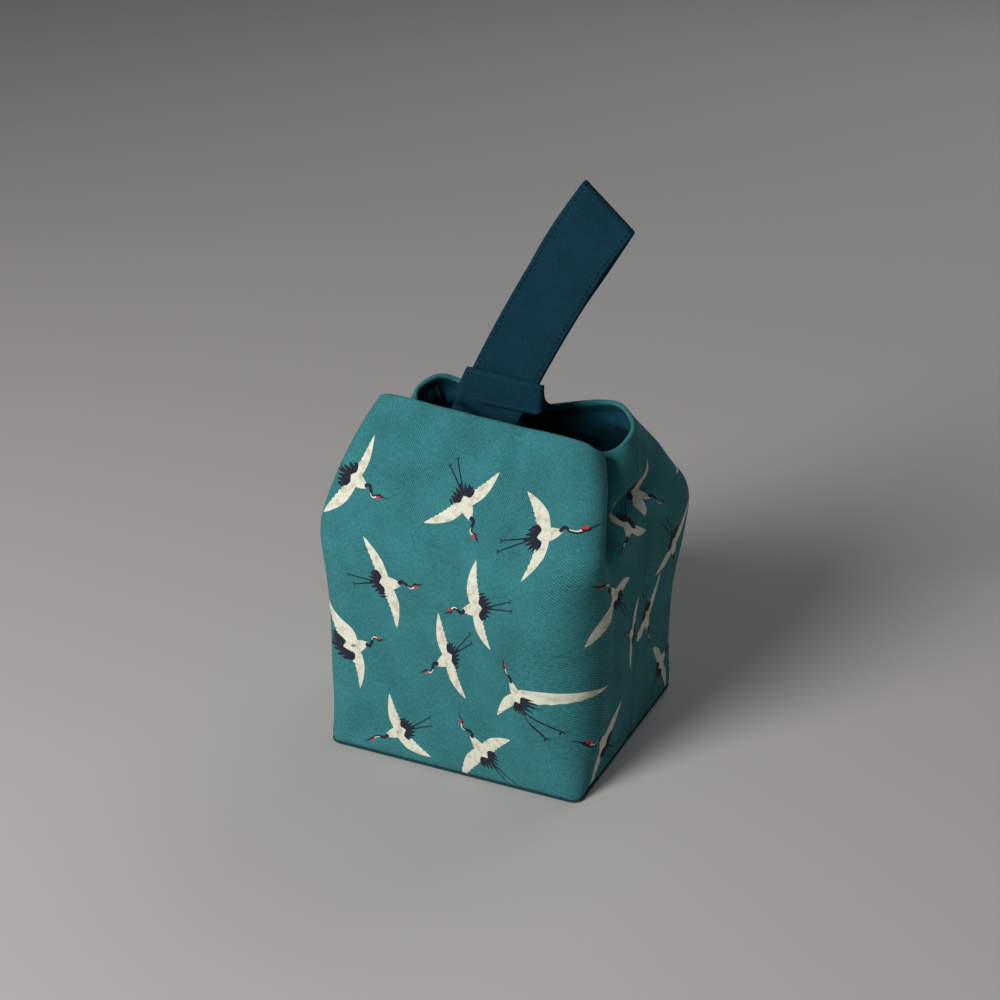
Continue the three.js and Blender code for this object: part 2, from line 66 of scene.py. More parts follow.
# Rim in mm, with 1 for the right side and -1 for the left
FRONT_RIM_Y = -20.0
FRONT_RIM_Z = 150.0
CORNER_STEP = 3.0
BACK_RIM_Y = 27.0
BACK_RIM_Z = 147.0
BACK_PULL_IN = 12.0
BACK_DIP = 3.5
MOUTH_HALF = 50.5
BACK_NARROW = 33.0
FOLD_RADIUS = 5.5
FOLD_STEPS = 4
RETURN_Y = FRONT_RIM_Y + 2 * FOLD_RADIUS
FOLD_DROP = {1: 5.0, -1: 3.0}
FOLD_BULGE = {1: 4.2, -1: 4.5}
LOBE_REACH = {1: 55.5, -1: 46.0}
LOBE_FRONT = {1: 4.0, -1: 7.0}
LOBE_PULL = {1: 4.3, -1: 2.0}
LOBE_RISE = {1: 0.0, -1: 4.5}
BACK_DRAWN = {1: 0.0, -1: 6.0}
LOBE_Y = 7.0
LOBE_FRONT_DROP = 10.7
LOBE_TIP_DROP = 6.0
LOBE_STEPS = (7.0, 15.0, 23.0)
LOBE_RISE_SHARES = (0.3, 1.0, 0.2, -0.5)
RIM_EASE = 1.0
PLEAT_DEPTH = 20.0
PLEAT_Z = 133.0
PLEAT_OFFSET = 6.0
PLEAT_SPREAD = 9.0

# Pocket behind the front fold: depth in mm, place in stations, height as a share of the slope
POCKET_DEPTH = {1: 28.0, -1: 10.0}
POCKET_STATION = 5.8
POCKET_SPREAD = 0.85
POCKET_RISE = 0.56
POCKET_TALL = 0.3
POCKET_BACKWARD = 0.15

# Stations along the rim, from the middle of the front to the middle of the back
PANEL_EDGE = 1
FOLD_STATION = 3
FOLD_SPREAD = 3
SEAM_STATION = 8
LAST_STATION = 12
RIM_SAMPLES = 40

# Cloth in mm
WALL_RUN = SHOULDER_HEIGHT - WALL_FOOT
SLOPE_RUN = 61.0
RIM_RUN = WALL_RUN + SLOPE_RUN
ROLL_RADIUS = 1.05
ROLL_TAIL = 1.4
ROLL_END = RIM_RUN + math.pi * ROLL_RADIUS + ROLL_TAIL
LINING_DEPTH = 2.0
SHOULDER_SOFTNESS = 14.0
SOFT_SAMPLES = 9
SOFT_FALL = 2.0
AXIS_STEP = 0.6

# Swells of the cloth in mm: height, then middle and width along the cloth, then middle and width up
FRONT_SWELL = (1.2, 0, 45, 75, 40)
RIGHT_SWELLS = ((3.0, 150, 38, 84, 24), (2.6, 160, 24, 102, 16), (2.4, 155, 24, 132, 15))
LEFT_SWELL = (1.5, 130, 40, 80, 26)

# Ridge and hollow across each side: height, extra on the right, then middle and width up the cloth
SIDE_RIDGE = (1.5, 1.0, 107, 8)
SIDE_HOLLOW = (4.5, 2.5, 123, 7)
SIDE_START = 82
SIDE_START_EASE = 4
SIDE_END = 134
SIDE_END_EASE = 6

# Small marks in the cloth in mm
RIM_TUCKS = (-24, 19)
TUCK_DEPTH = 1.6
TUCK_WIDTH = 5
TUCK_DROP = 10
TUCK_TALL = 14
SEAM_DEPTH = 0.5
SEAM_WIDTH = 0.9
SEAM_STOP = 4
SEAM_EASE = 10
FOOT_TUCK = 1.0
FOOT_TUCK_RUN = 0.9
WAVE = 1.1
WAVE_EDGE = 15

# Noise fields: scale along and up per mm of cloth, and the layer of the noise
WAVE_NOISE = (0.022, 0.028, 3.0)
LONG_FOLDS = (0.11, 0.035, 7.0)
SHORT_FOLDS = (0.3, 0.09, 9.0)

# Lining in mm
LINING_FOOT = 3.0
LINING_TOP_GAP = 0.2
PUFF = 3.6
PUFF_FOLDS = 3.0
FOLD_LIMITS = (-0.7, 1.0)
PUFF_DROP = 4.0
PUFF_EASE = 9.0
HEM_DROP = 2.4
HEM_PUFF = 0.4
SEWN_SPREAD = 20.0
BACK_SEWN = 22.0

# Steps of the meshes in mm
CLOTH_STEP = 1.7
BORDER_STEP = CLOTH_STEP * 0.6
ROW_STEP = CLOTH_STEP * 0.87
ROLL_STEP = 0.55
ROLL_START = 1.0
ROLL_GAP = 1.6
ROLL_MARGIN = 0.3
POINT_CLEAR = 0.5
POINT_SHIFT = 0.15
LINING_STEP = 2.0
FLAT_EPSILON = 1e-5
INSIDE_ONLY = 1
UV_SCALE = 0.01

# Strap in mm
STRAP_WIDTH = 28.0
STRAP_THICKNESS = 1.6
STRAP_LENGTH = 108.0
STRAP_X = -5.0
STRAP_Y = -3.0
STRAP_FOOT_Z = 149.0
LEAN_FOOT = math.radians(24.5)
LEAN_TOP = math.radians(33.5)
LAYER_SPACING = 2.2
LOOP_BOW = 2.8
LOOP_STEPS = 54
TOP_FOLD = 1.6
TOP_STEPS = 10
STRAIGHT_LENGTH = STRAP_LENGTH - TOP_FOLD - STRAP_THICKNESS / 2
BOW_START = 65.0
SKEW_START = 45.0
FOLD_SKEW = 2.0

# Strap legs and sewn ends: places on the slope as shares of it, the rest in mm
STRAP_END_X = -3.0
SEWN_CLEAR = 0.5
STRAP_DEPTH = LINING_DEPTH + SEWN_CLEAR + STRAP_THICKNESS / 2
SEWN_START = 0.35
SEWN_STEPS = 8
LEG_START = 0.8
LEG_RIM = 0.96
LEG_RIM_CLEAR = 1.2
LEG_LAP = 0.6
LEG_BEND_DROP = 3.0
LEG_BEND_SHARE = 0.62
LEG_SAMPLES = 14
LEG_TURN_START = 0.05
LEG_TURN_RUN = 0.45
LEG_SPLIT_Y = -9.6

# Keeper in mm
KEEPER_HEIGHT = 15.0
KEEPER_CLOTH = 1.1
KEEPER_SHIFT = -0.6
KEEPER_TILT = math.radians(3.5)
KEEPER_LIFT = 2.0
KEEPER_REACH = 4.0
KEEPER_NARROW = 0.07
KEEPER_END_TAPER = 0.12
KEEPER_EASE_FROM = 0.4
KEEPER_CORNER = 1.2
KEEPER_PUFF = 0.45
KEEPER_SIDE_ROOM = 0.8
KEEPER_FACE_ROOM = 0.25
KEEPER_TURN_STEPS = 8
KEEPER_FRONT_STEPS = 16
KEEPER_SKEW = LEAN_FOOT - KEEPER_TILT
KEEPER_HALF_X = STRAP_WIDTH / 2 / math.cos(KEEPER_SKEW) + KEEPER_SIDE_ROOM + KEEPER_CLOTH / 2
KEEPER_HALF_Y = LAYER_SPACING / 2 + STRAP_THICKNESS / 2 + KEEPER_FACE_ROOM + KEEPER_CLOTH / 2

# Keeper's tails: the route of each edge in mm, as outer and inner edge
TAIL_STARTS = (0.28, -0.5)
TAIL_X = {1: (19.0, 18.0), -1: (-25.0, -12.5)}
TAIL_OUTER = {
    1: [(18.4, -1.5, 155.7), (18.8, 2, 152.3), (19, 8, 149.3), (19.1, 15.5, 146.4)],
    -1: [(-18.3, 0, 156.5), (-19.7, 4, 153.5), (-21.5, 8, 151), (-25, 12.5, 147.5)],
}
TAIL_INNER = {
    1: [(18.0, -1, 149.4), (18.2, 3, 148.4), (18.4, 9, 146.0), (19.5, 15, 143.6)],
    -1: [(-20, 0, 149.5), (-18.5, 4, 148), (-16, 9, 145.5), (-12.5, 12.5, 143.5)],
}
TAIL_SINKS = ((0.94, 1.0), (0.9, 0.2), (0.86, -0.8))
TAIL_SAMPLES = 6
TAIL_SPLIT_Y = 4.5

# Strips and stitches in mm
ACROSS_STEPS = 15
EDGE_STEPS = 6
GROOVE_DEPTH = 0.22
GROOVE_WIDTH = 0.8
STITCH_INSET = 1.8
THREAD_SINK = 0.1
KEEPER_STITCH_INSET = 1.7
KEEPER_THREAD_LIFT = 0.02
RIM_STITCH_DROP = 5.0
RIM_STITCH_END = 1.0
RIM_STITCH_STEPS = 180
DASH_START = 0.3
DASH_RINGS = ((-0.5, 0.55, -0.6), (-0.25, 0.95, 0.15), (0.25, 0.95, 0.15), (0.5, 0.55, -0.6))
DASH_SIDES = 6

# Base plates
PLATE_STEPS = 61
PLATE_CORNER = 0.5


# Shape of the pouch

def station_runs(width, depth, radius):
    front = width / 2 - radius
    corner = math.pi / 2 * radius
    side = depth - 2 * radius
    total = 2 * front + 2 * corner + side
    pleat = front + corner + PLEAT_OFFSET
    return np.array([
        0 * front, front, front + 0.25 * corner, front + 0.5 * corner,
        front + 0.75 * corner, front + corner, pleat, pleat + PLEAT_SPREAD,
        front + corner + side / 2, front + corner + side,
        front + 1.5 * corner + side, total - front, total,
    ])


def outline_at(place, width, depth, radius):
    runs = station_runs(width, depth, radius)
    index = np.minimum(place.astype(int), LAST_STATION - 1)
    column = np.arange(place.size)
    low = runs[index, column]
    along = low + (runs[index + 1, column] - low) * (place - index)
    front = width / 2 - radius
    corner = math.pi / 2 * radius
    total = runs[-1]
    behind = along > total / 2
    half = np.where(behind, total - along, along)
    turn = np.clip((half - front) / radius, 0, math.pi / 2)
    x = np.minimum(half, front) + radius * np.sin(turn)
    y = radius * (1 - np.cos(turn)) + np.maximum(half - front - corner, 0) - depth / 2
    return x, np.where(behind, -y, y)


def rim_half(side):
    reach = LOBE_REACH[side]
    back_y = BACK_RIM_Y - BACK_DRAWN[side]
    tip_rise, shoulder_rise, back_rise, inner_rise = (
        share * LOBE_RISE[side] for share in LOBE_RISE_SHARES
    )
    shoulder_step, back_step, inner_step = LOBE_STEPS
    straight = MOUTH_HALF - FOLD_RADIUS
    points = [(0, FRONT_RIM_Y, FRONT_RIM_Z)]
    for i in range(FOLD_STEPS + 1):
        turn = math.pi * i / FOLD_STEPS
        points.append((
            straight + FOLD_RADIUS * math.sin(turn),
            FRONT_RIM_Y + FOLD_RADIUS * (1 - math.cos(turn)),
            FRONT_RIM_Z - side * CORNER_STEP - 2 * FOLD_DROP[side] * i / FOLD_STEPS,
        ))
    points += [
        (MOUTH_HALF - PLEAT_DEPTH, RETURN_Y + RIM_EASE, PLEAT_Z),
        (
            reach - LOBE_FRONT[side], (RETURN_Y + LOBE_Y) / 2 - LOBE_PULL[side],
            FRONT_RIM_Z - LOBE_FRONT_DROP,
        ),
        (reach, LOBE_Y, FRONT_RIM_Z - LOBE_TIP_DROP + tip_rise),
        (reach - shoulder_step, (LOBE_Y + 2 * back_y) / 3, BACK_RIM_Z - RIM_EASE + shoulder_rise),
        (reach - back_step, back_y, BACK_RIM_Z + back_rise),
        (reach - inner_step, back_y - RIM_EASE, BACK_RIM_Z + inner_rise),
        (0, BACK_RIM_Y - BACK_PULL_IN, BACK_RIM_Z - BACK_DIP),
    ]
    return [(side * x, y, z) for x, y, z in points]


# Smooth curve through points, with tangents that suit uneven spacing
def smooth_path(points, per, closed):
    points = np.array(points, float)
    count = len(points)
    samples = []
    for i in range(count if closed else count - 1):
        if closed:
            a, b, c, d = (points[(i + k) % count] for k in (-1, 0, 1, 2))
        else:
            b, c = points[i], points[i + 1]
            a = points[i - 1] if i else 2 * b - c
            d = points[i + 2] if i + 2 < count else 2 * c - b
        t0, t1, t2 = (
            max(np.linalg.norm(q - p), 1e-6) ** 0.5 for p, q in ((a, b), (b, c), (c, d))
        )
        m1 = t1 * ((b - a) / t0 - (c - a) / (t0 + t1) + (c - b) / t1)
        m2 = t1 * ((c - b) / t1 - (d - b) / (t1 + t2) + (d - c) / t2)
        t = (np.arange(per) / per)[:, None]
        samples.append(
            b + m1 * t + (-3 * b + 3 * c - 2 * m1 - m2) * t ** 2
            + (2 * b - 2 * c + m1 + m2) * t ** 3
        )
    samples.append(points[:1] if closed else points[-1:])
    return np.vstack(samples)


RIM = smooth_path(rim_half(1) + rim_half(-1)[1:LAST_STATION][::-1], RIM_SAMPLES, True)
SHOULDER_RUNS = station_runs(BODY_WIDTH + 2 * FLARE_X, BODY_DEPTH + 2 * FLARE_Y, SHOULDER_RADIUS)
SEAM_RUN = SHOULDER_RUNS[SEAM_STATION]
BACK_RUN = SHOULDER_RUNS[LAST_STATION]


def rim_at(place, side):
    loop = np.where(side > 0, place, 2 * LAST_STATION - place) * RIM_SAMPLES
    steps = np.arange(len(RIM))
    return np.stack([np.interp(loop, steps, RIM[:, k]) for k in range(3)], axis=1)


def bell(value, middle, width):
    return np.exp(-((value - middle) / width) ** 2)


def eased(value):
    value = np.clip(value, 0, 1)
    return value * value * (3 - 2 * value)


def noise_at(along, up, scale_along, scale_up, layer):
    return np.array([
        noise.noise(Vector((a * scale_along, b * scale_up, layer))) for a, b in zip(along, up)
    ])


def around(run):
    side = np.where((run < 0) | (run > BACK_RUN), -1, 1)
    distance = np.where(run > BACK_RUN, 2 * BACK_RUN - run, np.abs(run))
    return side, distance


def plain_face(run, height):
    side, distance = around(run)
    place = np.interp(distance, SHOULDER_RUNS, np.arange(LAST_STATION + 1))
    share = np.clip(height / WALL_RUN, 0, 1)
    belly = np.sin(math.pi * share)
    width = BODY_WIDTH + 2 * FLARE_X * share + BELLY * belly
    depth = BODY_DEPTH + 2 * FLARE_Y * share + BELLY * belly
    behind = (place > SEAM_STATION).astype(int)
    corners = list(zip(side, behind))
    shoulder = np.array([SOFT_SHOULDER[corner] for corner in corners])
    soft = np.array([SOFT_CORNER[corner] for corner in corners])
    radius = BASE_RADIUS + (shoulder - BASE_RADIUS) * share + soft * belly ** SOFT_POWER
    x, y = outline_at(place, width, depth, radius)
    low = np.stack([side * x, y, WALL_FOOT + WALL_RUN * share], axis=1)
    rise = np.clip((height - WALL_RUN) / SLOPE_RUN, 0, 1)
    high = low + (rim_at(place, side) - low) * rise[:, None]
    near = np.clip(1 - ((place - FOLD_STATION) / FOLD_SPREAD) ** 2, 0, None)
    bulge = np.where(side > 0, FOLD_BULGE[1], FOLD_BULGE[-1])
    high[:, 0] += side * bulge * near * 4 * rise * (1 - rise)
    pocket = np.where(side > 0, POCKET_DEPTH[1], POCKET_DEPTH[-1])
    pocket = pocket * bell(place, POCKET_STATION, POCKET_SPREAD)
    pocket = pocket * bell(rise, POCKET_RISE, POCKET_TALL)
    high[:, 0] -= side * pocket
    high[:, 1] += POCKET_BACKWARD * pocket
    return high


# Average over nearby heights, so that the shoulder bends softly
def soft_face(run, height):
    room = np.clip(np.minimum(height, RIM_RUN - height) / SHOULDER_SOFTNESS, 0, 1)
    total = np.zeros((run.size, 3))
    weights = 0.0
    for offset in np.linspace(-1, 1, SOFT_SAMPLES):
        weight = math.exp(-SOFT_FALL * offset ** 2)
        total += weight * plain_face(run, height + offset * SHOULDER_SOFTNESS * room)
        weights += weight
    return total / weights


def swell(distance, height, shape):
    size, along, wide, up, tall = shape
    return size * bell(distance, along, wide) * bell(height, up, tall)


def side_relief(distance, height, right):
    start = 1 / (1 + np.exp(-(distance - SIDE_START) / SIDE_START_EASE))
    inside = start / (1 + np.exp((distance - SIDE_END) / SIDE_END_EASE))
    ridge, ridge_right, ridge_up, ridge_tall = SIDE_RIDGE
    hollow, hollow_right, hollow_up, hollow_tall = SIDE_HOLLOW
    out = inside * (ridge + ridge_right * right) * bell(height, ridge_up, ridge_tall)
    return out - inside * (hollow + hollow_right * right) * bell(height, hollow_up, hollow_tall)


def relief(run, height):
    side, distance = around(run)
    right = np.where(side > 0, 1.0, 0.0)
    out = swell(distance, height, FRONT_SWELL)
    for shape in RIGHT_SWELLS:
        out += right * swell(distance, height, shape)
    out += (1 - right) * swell(distance, height, LEFT_SWELL)
    out += side_relief(distance, height, right)
    for middle in RIM_TUCKS:
        tuck = bell(side * distance, middle, TUCK_WIDTH) * bell(height, RIM_RUN - TUCK_DROP, TUCK_TALL)
        out -= TUCK_DEPTH * tuck
    seam = bell(distance, SEAM_RUN, SEAM_WIDTH)
    out -= SEAM_DEPTH * seam * np.clip((RIM_RUN - SEAM_STOP - height) / SEAM_EASE, 0, 1)
    out -= FOOT_TUCK * np.exp(-height / FOOT_TUCK_RUN)
    edge = np.clip(np.minimum(height, RIM_RUN - height) / WAVE_EDGE, 0, 1)
    return out + WAVE * noise_at(run, height, *WAVE_NOISE) * edge


def face_and_axes(run, height):
    height = np.clip(height, 0, RIM_RUN)
    low = np.clip(height - AXIS_STEP, 0, RIM_RUN)
    high = np.clip(height + AXIS_STEP, 0, RIM_RUN)
    across = soft_face(run + AXIS_STEP, height) - soft_face(run - AXIS_STEP, height)
    up = soft_face(run, high) - soft_face(run, low)
    outward = np.cross(across, up)
    outward /= np.linalg.norm(outward, axis=1)[:, None]
    up /= np.linalg.norm(up, axis=1)[:, None]
    point = soft_face(run, height) + outward * relief(run, height)[:, None]
    return point, outward, up


# Place on the cloth: the run goes around the pouch, the height up the cloth and over the rim's roll
def cloth_point(run, height, depth=0.0):
    point, outward, up = face_and_axes(run, height)
    over = np.clip(height - RIM_RUN, 0, None)
    turn = np.clip(over / ROLL_RADIUS, 0, math.pi)
    tail = np.clip(over - math.pi * ROLL_RADIUS, 0, None)
    lift = ROLL_RADIUS * np.sin(turn) - tail
    inward = depth + ROLL_RADIUS * (1 - np.cos(turn))
    return point + up * lift[:, None] - outward * inward[:, None]


# Meshes

def add_mesh(name, points, faces, materials, uv=None, face_slots=None):
    mesh = bpy.data.meshes.new(name)
    mesh.from_pydata((np.asarray(points) * MM).tolist(), [], faces)
    for material in materials:
        mesh.materials.append(material)
    if face_slots is not None:
        mesh.polygons.foreach_set("material_index", face_slots)
    mesh.polygons.foreach_set("use_smooth", [True] * len(mesh.polygons))
    if uv is not None:
        layer = mesh.uv_layers.new(name="UVMap")
        corners = np.empty(len(mesh.loops), int)
        mesh.loops.foreach_get("vertex_index", corners)
        layer.data.foreach_set("uv", (np.asarray(uv)[corners] * UV_SCALE).ravel())
    mesh.update()
    piece = bpy.data.objects.new(name, mesh)
    bpy.context.scene.collection.objects.link(piece)
    return piece


def grid_faces(rows, columns, closed=False):
    faces = []
    for r in range(rows - 1):
        low = r * columns
        high = low + columns
        for c in range(columns if closed else columns - 1):
            d = (c + 1) % columns
            faces.append((low + c, low + d, high + d, high + c))
    return faces


def tube_faces(rows, ring, ends=(True, True)):
    faces = grid_faces(rows, ring, True)
    if ends[0]:
        faces.append(tuple(range(ring - 1, -1, -1)))
    if ends[1]:
        faces.append(tuple((rows - 1) * ring + k for k in range(ring)))
    return faces


# Crane print: drawn here from simple curves, heading along +X, in mm

TEAL, CREAM, INK, RED = range(4)

# Proportions of a wing, as shares of its length, sweep and chord
WRIST = 0.4
INNER_LEAD = (0.2, 0.9)
OUTER_LEAD = (0.72, 0.85)
LEAD_START = 1.4
FEATHER_NOTCH = 0.84
TRAIL_PULL = 0.2
TRAIL_POWER = 0.7
FEATHER_SLANT = 0.7

# Dark feathers beside the body: how many, and shares of the wing's length and chord
DARK_FEATHERS = 4
DARK_START = 0.03
DARK_STEP = 0.075
DARK_BACK = 0.3
DARK_LENGTH = 1.1
DARK_SHORTER = 0.13
DARK_WIDTH = 1.0

# Legs as drop and length, toes as angles, tail plumes as turn and length
CRANE_LEGS = ((-0.9, 13.5), (0.7, 12.0))
TOES = (-0.5, 0.1, 0.6)
HIP_X = -4.5
SHANK_X = -6
PLUMES = (
    (-1.2, 4.6), (-0.9, 6.2), (-0.6, 7.4), (-0.3, 8.2), (0.0, 8.6),
    (0.3, 8.0), (0.6, 7.2), (0.9, 6.0), (1.2, 4.4),
)
PLUME_X = -1.4

# Body, neck and head
RUMP_X = -3.6
CHEST_X = 8.4
CHEST_HALF = 0.6
BODY_SWELL = (0.2, 5.4)
NECK_X = 7.2
NECK_LENGTH = 8.6
NECK_WAVE = 1.9
NECK_CALM = 0.25
NECK_STEPS = 14
BEAK = 5.8
BEAK_HALF = 0.5

# Layout of the print in mm, with turns in degrees
TURNS = (20, 158, -34, 205, 72, -58, 118, 340)
TURN_SCATTER = 14
FIRST_ROW = 14.0
ROW_PITCH = 37
ROW_STARTS = (36, 10)
CRANE_PITCH = 52
CRANE_PAST = 10
SCATTER_ALONG = 5
SCATTER_UP = 6
CRANE_MARGIN = 6
CRANE_SIZES = (0.92, 1.06)

# Two cranes of the front are moved so that they don't run together at the right fold
FRONT_NUDGES = {15: (-6.5, 1.0), 16: (1.0, -8.0)}
FRONT_SEED = 11
BACK_SEED = 23
FILL_SEED = 100


def bezier(p, q, r, count):
    t = np.linspace(0, 1, count)[:, None]
    p, q, r = (np.array(v, float) for v in (p, q, r))
    return p * (1 - t) ** 2 + 2 * q * t * (1 - t) + r * t ** 2


def stroke(line, start, end):
    line = np.asarray(line, float)
    run = np.gradient(line, axis=0)
    run /= np.linalg.norm(run, axis=1)[:, None]
    side = np.stack([-run[:, 1], run[:, 0]], axis=1)
    half = np.linspace(start, end, len(line))[:, None] / 2
    return np.vstack([line + side * half, (line - side * half)[::-1]])


def leaf(base, angle, length, width):
    tip = np.array(base) + length * np.array([math.cos(angle), math.sin(angle)])
    side = width * np.array([-math.sin(angle), math.cos(angle)])
    middle = (np.array(base) + tip) / 2
    return np.vstack([
        bezier(base, middle + side, tip, 6)[:-1], bezier(tip, middle - side, base, 6)[:-1],
    ])


def oval(middle, long, short, angle, count=12):
    turn = np.linspace(0, 2 * math.pi, count, endpoint=False)
    x, y = long * np.cos(turn), short * np.sin(turn)
    c, s = math.cos(angle), math.sin(angle)
    return np.stack([middle[0] + c * x - s * y, middle[1] + s * x + c * y], axis=1)


def wing_axes(root, tip):
    root, tip = np.array(root, float), np.array(tip, float)
    axis = tip - root
    length = np.linalg.norm(axis)
    axis /= length
    ahead = np.array([axis[1], -axis[0]])
    return root, tip, axis, length, -ahead if ahead[0] < 0 else ahead


def wing(root, tip, chord, sweep, feathers):
    root, tip, axis, length, ahead = wing_axes(root, tip)
    wrist = root + axis * length * WRIST + ahead * sweep
    inner = root + axis * length * INNER_LEAD[0] + ahead * sweep * INNER_LEAD[1]
    outer = root + axis * length * OUTER_LEAD[0] + ahead * sweep * OUTER_LEAD[1]
    lead = np.vstack([
        bezier(root + ahead * LEAD_START, inner, wrist, 6)[:-1], bezier(wrist, outer, tip, 8),
    ])
    bow = wrist - ahead * sweep * TRAIL_PULL
    trail = []
    for i, t in enumerate(np.linspace(1, 0, 2 * feathers + 1)[1:]):
        notch = FEATHER_NOTCH if i % 2 else 1.0
        middle = (1 - t) ** 2 * root + 2 * t * (1 - t) * bow + t ** 2 * tip
        drop = ahead * chord * notch * (1 - t) ** TRAIL_POWER
        trail.append(middle - drop + axis * (0.5 - notch) * FEATHER_SLANT)
    return np.vstack([lead, trail])


def dark_feathers(root, tip, chord):
    root, _, axis, length, ahead = wing_axes(root, tip)
    behind = -ahead
    angle = math.atan2(behind[1], behind[0])
    shapes = []
    for k in range(DARK_FEATHERS):
        base = root + axis * length * (DARK_START + DARK_STEP * k) + behind * chord * DARK_BACK
        size = chord * (DARK_LENGTH - DARK_SHORTER * k)
        shapes.append((INK, leaf(base, angle, size, DARK_WIDTH)))
    return shapes


def crane_legs():
    shapes = []
    for drop, size in CRANE_LEGS:
        knee = (SHANK_X - size * 0.5, drop * 1.2)
        foot = (SHANK_X - size, drop * 2.6)
        shapes.append((INK, stroke(bezier((HIP_X, drop * 0.4), knee, foot, 7), 0.8, 0.55)))
        for spread in TOES:
            shapes.append((INK, leaf(foot, math.pi + spread, 2.2, 0.4)))
    return shapes


def crane_body():
    shapes = []
    for turn, size in PLUMES:
        shapes.append((INK, leaf((PLUME_X, turn * 1.9), math.pi - turn * 0.8, size, 1.5)))
    swell_x, swell_y = BODY_SWELL
    shapes.append((CREAM, np.vstack([
        bezier((RUMP_X, 0), (swell_x, swell_y), (CHEST_X, CHEST_HALF), 9),
        bezier((CHEST_X, -CHEST_HALF), (swell_x, -swell_y), (RUMP_X, 0), 9)[:-1],
    ])))
    return shapes


def crane_head(bend):
    share = np.linspace(0, 1, NECK_STEPS)
    wave = bend * NECK_WAVE * np.sin(2 * math.pi * share) * (1 - NECK_CALM * share)
    neck = np.stack([NECK_X + NECK_LENGTH * share, wave], axis=1)
    head = neck[-1]
    aim = math.atan2(bend * 1.6, 5.0)
    ray = np.array([math.cos(aim), math.sin(aim)])
    side = BEAK_HALF * np.array([-ray[1], ray[0]])
    return [
        (INK, stroke(neck, 1.9, 1.1)),
        (CREAM, stroke(neck[NECK_STEPS // 2:] + (0, 0.42), 0.35, 0.75)),
        (INK, oval(head + 0.5 * ray, 1.4, 1.0, aim)),
        (INK, np.array([head + ray + side, head + ray - side, head + BEAK * ray])),
        (RED, oval(head + 0.5 * ray + 1.3 * side, 1.15, 0.7, aim, 9)),
    ]


def crane(near, far, bend):
    shapes = [
        (CREAM, wing(root=(1.0, -0.8), tip=far, chord=5.8, sweep=3.4, feathers=9)),
        (CREAM, wing(root=(1.4, 0.8), tip=near, chord=6.4, sweep=3.8, feathers=10)),
    ]
    shapes += dark_feathers(root=(0.2, -1.2), tip=far, chord=5.4)
    shapes += dark_feathers(root=(0.4, 1.2), tip=near, chord=5.8)
    return shapes + crane_legs() + crane_body() + crane_head(bend)


CRANES = [
    crane(near=(-6.5, 20.0), far=(-9.5, -18.0), bend=0.8),
    crane(near=(1.0, 21.0), far=(-7.0, -19.5), bend=-0.7),
    crane(near=(-11.0, 17.0), far=(-2.0, -20.5), bend=0.5),
    crane(near=(-4.0, 21.0), far=(-5.0, -20.0), bend=-0.9),
]


def crane_flock(half_span, seed, nudges):
    dice = random.Random(seed)
    polygons = []
    row = 0
    height = FIRST_ROW
    count = 0
    while height < ROLL_END:
        run = -half_span + ROW_STARTS[row % 2]
        while run < half_span + CRANE_PAST:
            along = run + dice.uniform(-SCATTER_ALONG, SCATTER_ALONG)
            up = height + dice.uniform(-SCATTER_UP, SCATTER_UP)
            run += CRANE_PITCH
            if abs(along) > half_span - CRANE_MARGIN or up > RIM_RUN - CRANE_MARGIN:
                continue
            middle = np.array([along, up]) + nudges.get(count, (0.0, 0.0))
            heading = TURNS[(count * 3 + row) % len(TURNS)]
            turn = math.radians(heading + dice.uniform(-TURN_SCATTER, TURN_SCATTER))
            size = dice.uniform(*CRANE_SIZES)
            flip = dice.choice((-1, 1))
            c, s = math.cos(turn) * size, math.sin(turn) * size
            for colour, shape in CRANES[dice.randrange(len(CRANES))]:
                x, y = shape[:, 0], flip * shape[:, 1]
                polygons.append((colour, np.stack([c * x - s * y, s * x + c * y], axis=1) + middle))
            count += 1
        height += ROW_PITCH
        row += 1
    return polygons


# Cloth

def flat_border(across, upward):
    right, top = across[-1], upward[-1]
    border = [(u, 0.0) for u in across[:-1]] + [(right, v) for v in upward[:-1]]
    return border + [(u, top) for u in across[:0:-1]] + [(-right, v) for v in upward[:0:-1]]


def counterclockwise(ring, shape):
    turned = np.roll(shape, -1, axis=0)
    area = np.sum(shape[:, 0] * turned[:, 1] - turned[:, 0] * shape[:, 1])
    return ring if area > 0 else ring[::-1]


# Points between the outlines of the print, closer together on the rim's roll
def fill_points(across, half_span, tree, seed):
    dice = random.Random(seed)
    top = ROLL_END - ROLL_MARGIN
    rows = np.arange(BORDER_STEP, top, ROW_STEP)
    fine = np.arange(RIM_RUN - ROLL_START, top, ROLL_STEP)
    rows = np.concatenate([rows[rows < RIM_RUN - ROLL_GAP], fine])
    points = []
    for r, v in enumerate(rows):
        shift = 0.25 + 0.5 * (r % 2)
        for u in across[:-1] + (across[1] - across[0]) * shift:
            if abs(u) > half_span - POINT_CLEAR:
                continue
            u += dice.uniform(-POINT_SHIFT, POINT_SHIFT)
            if tree.find((u, v, 0))[2] > POINT_CLEAR:
                points.append((float(u), float(v)))
    return points


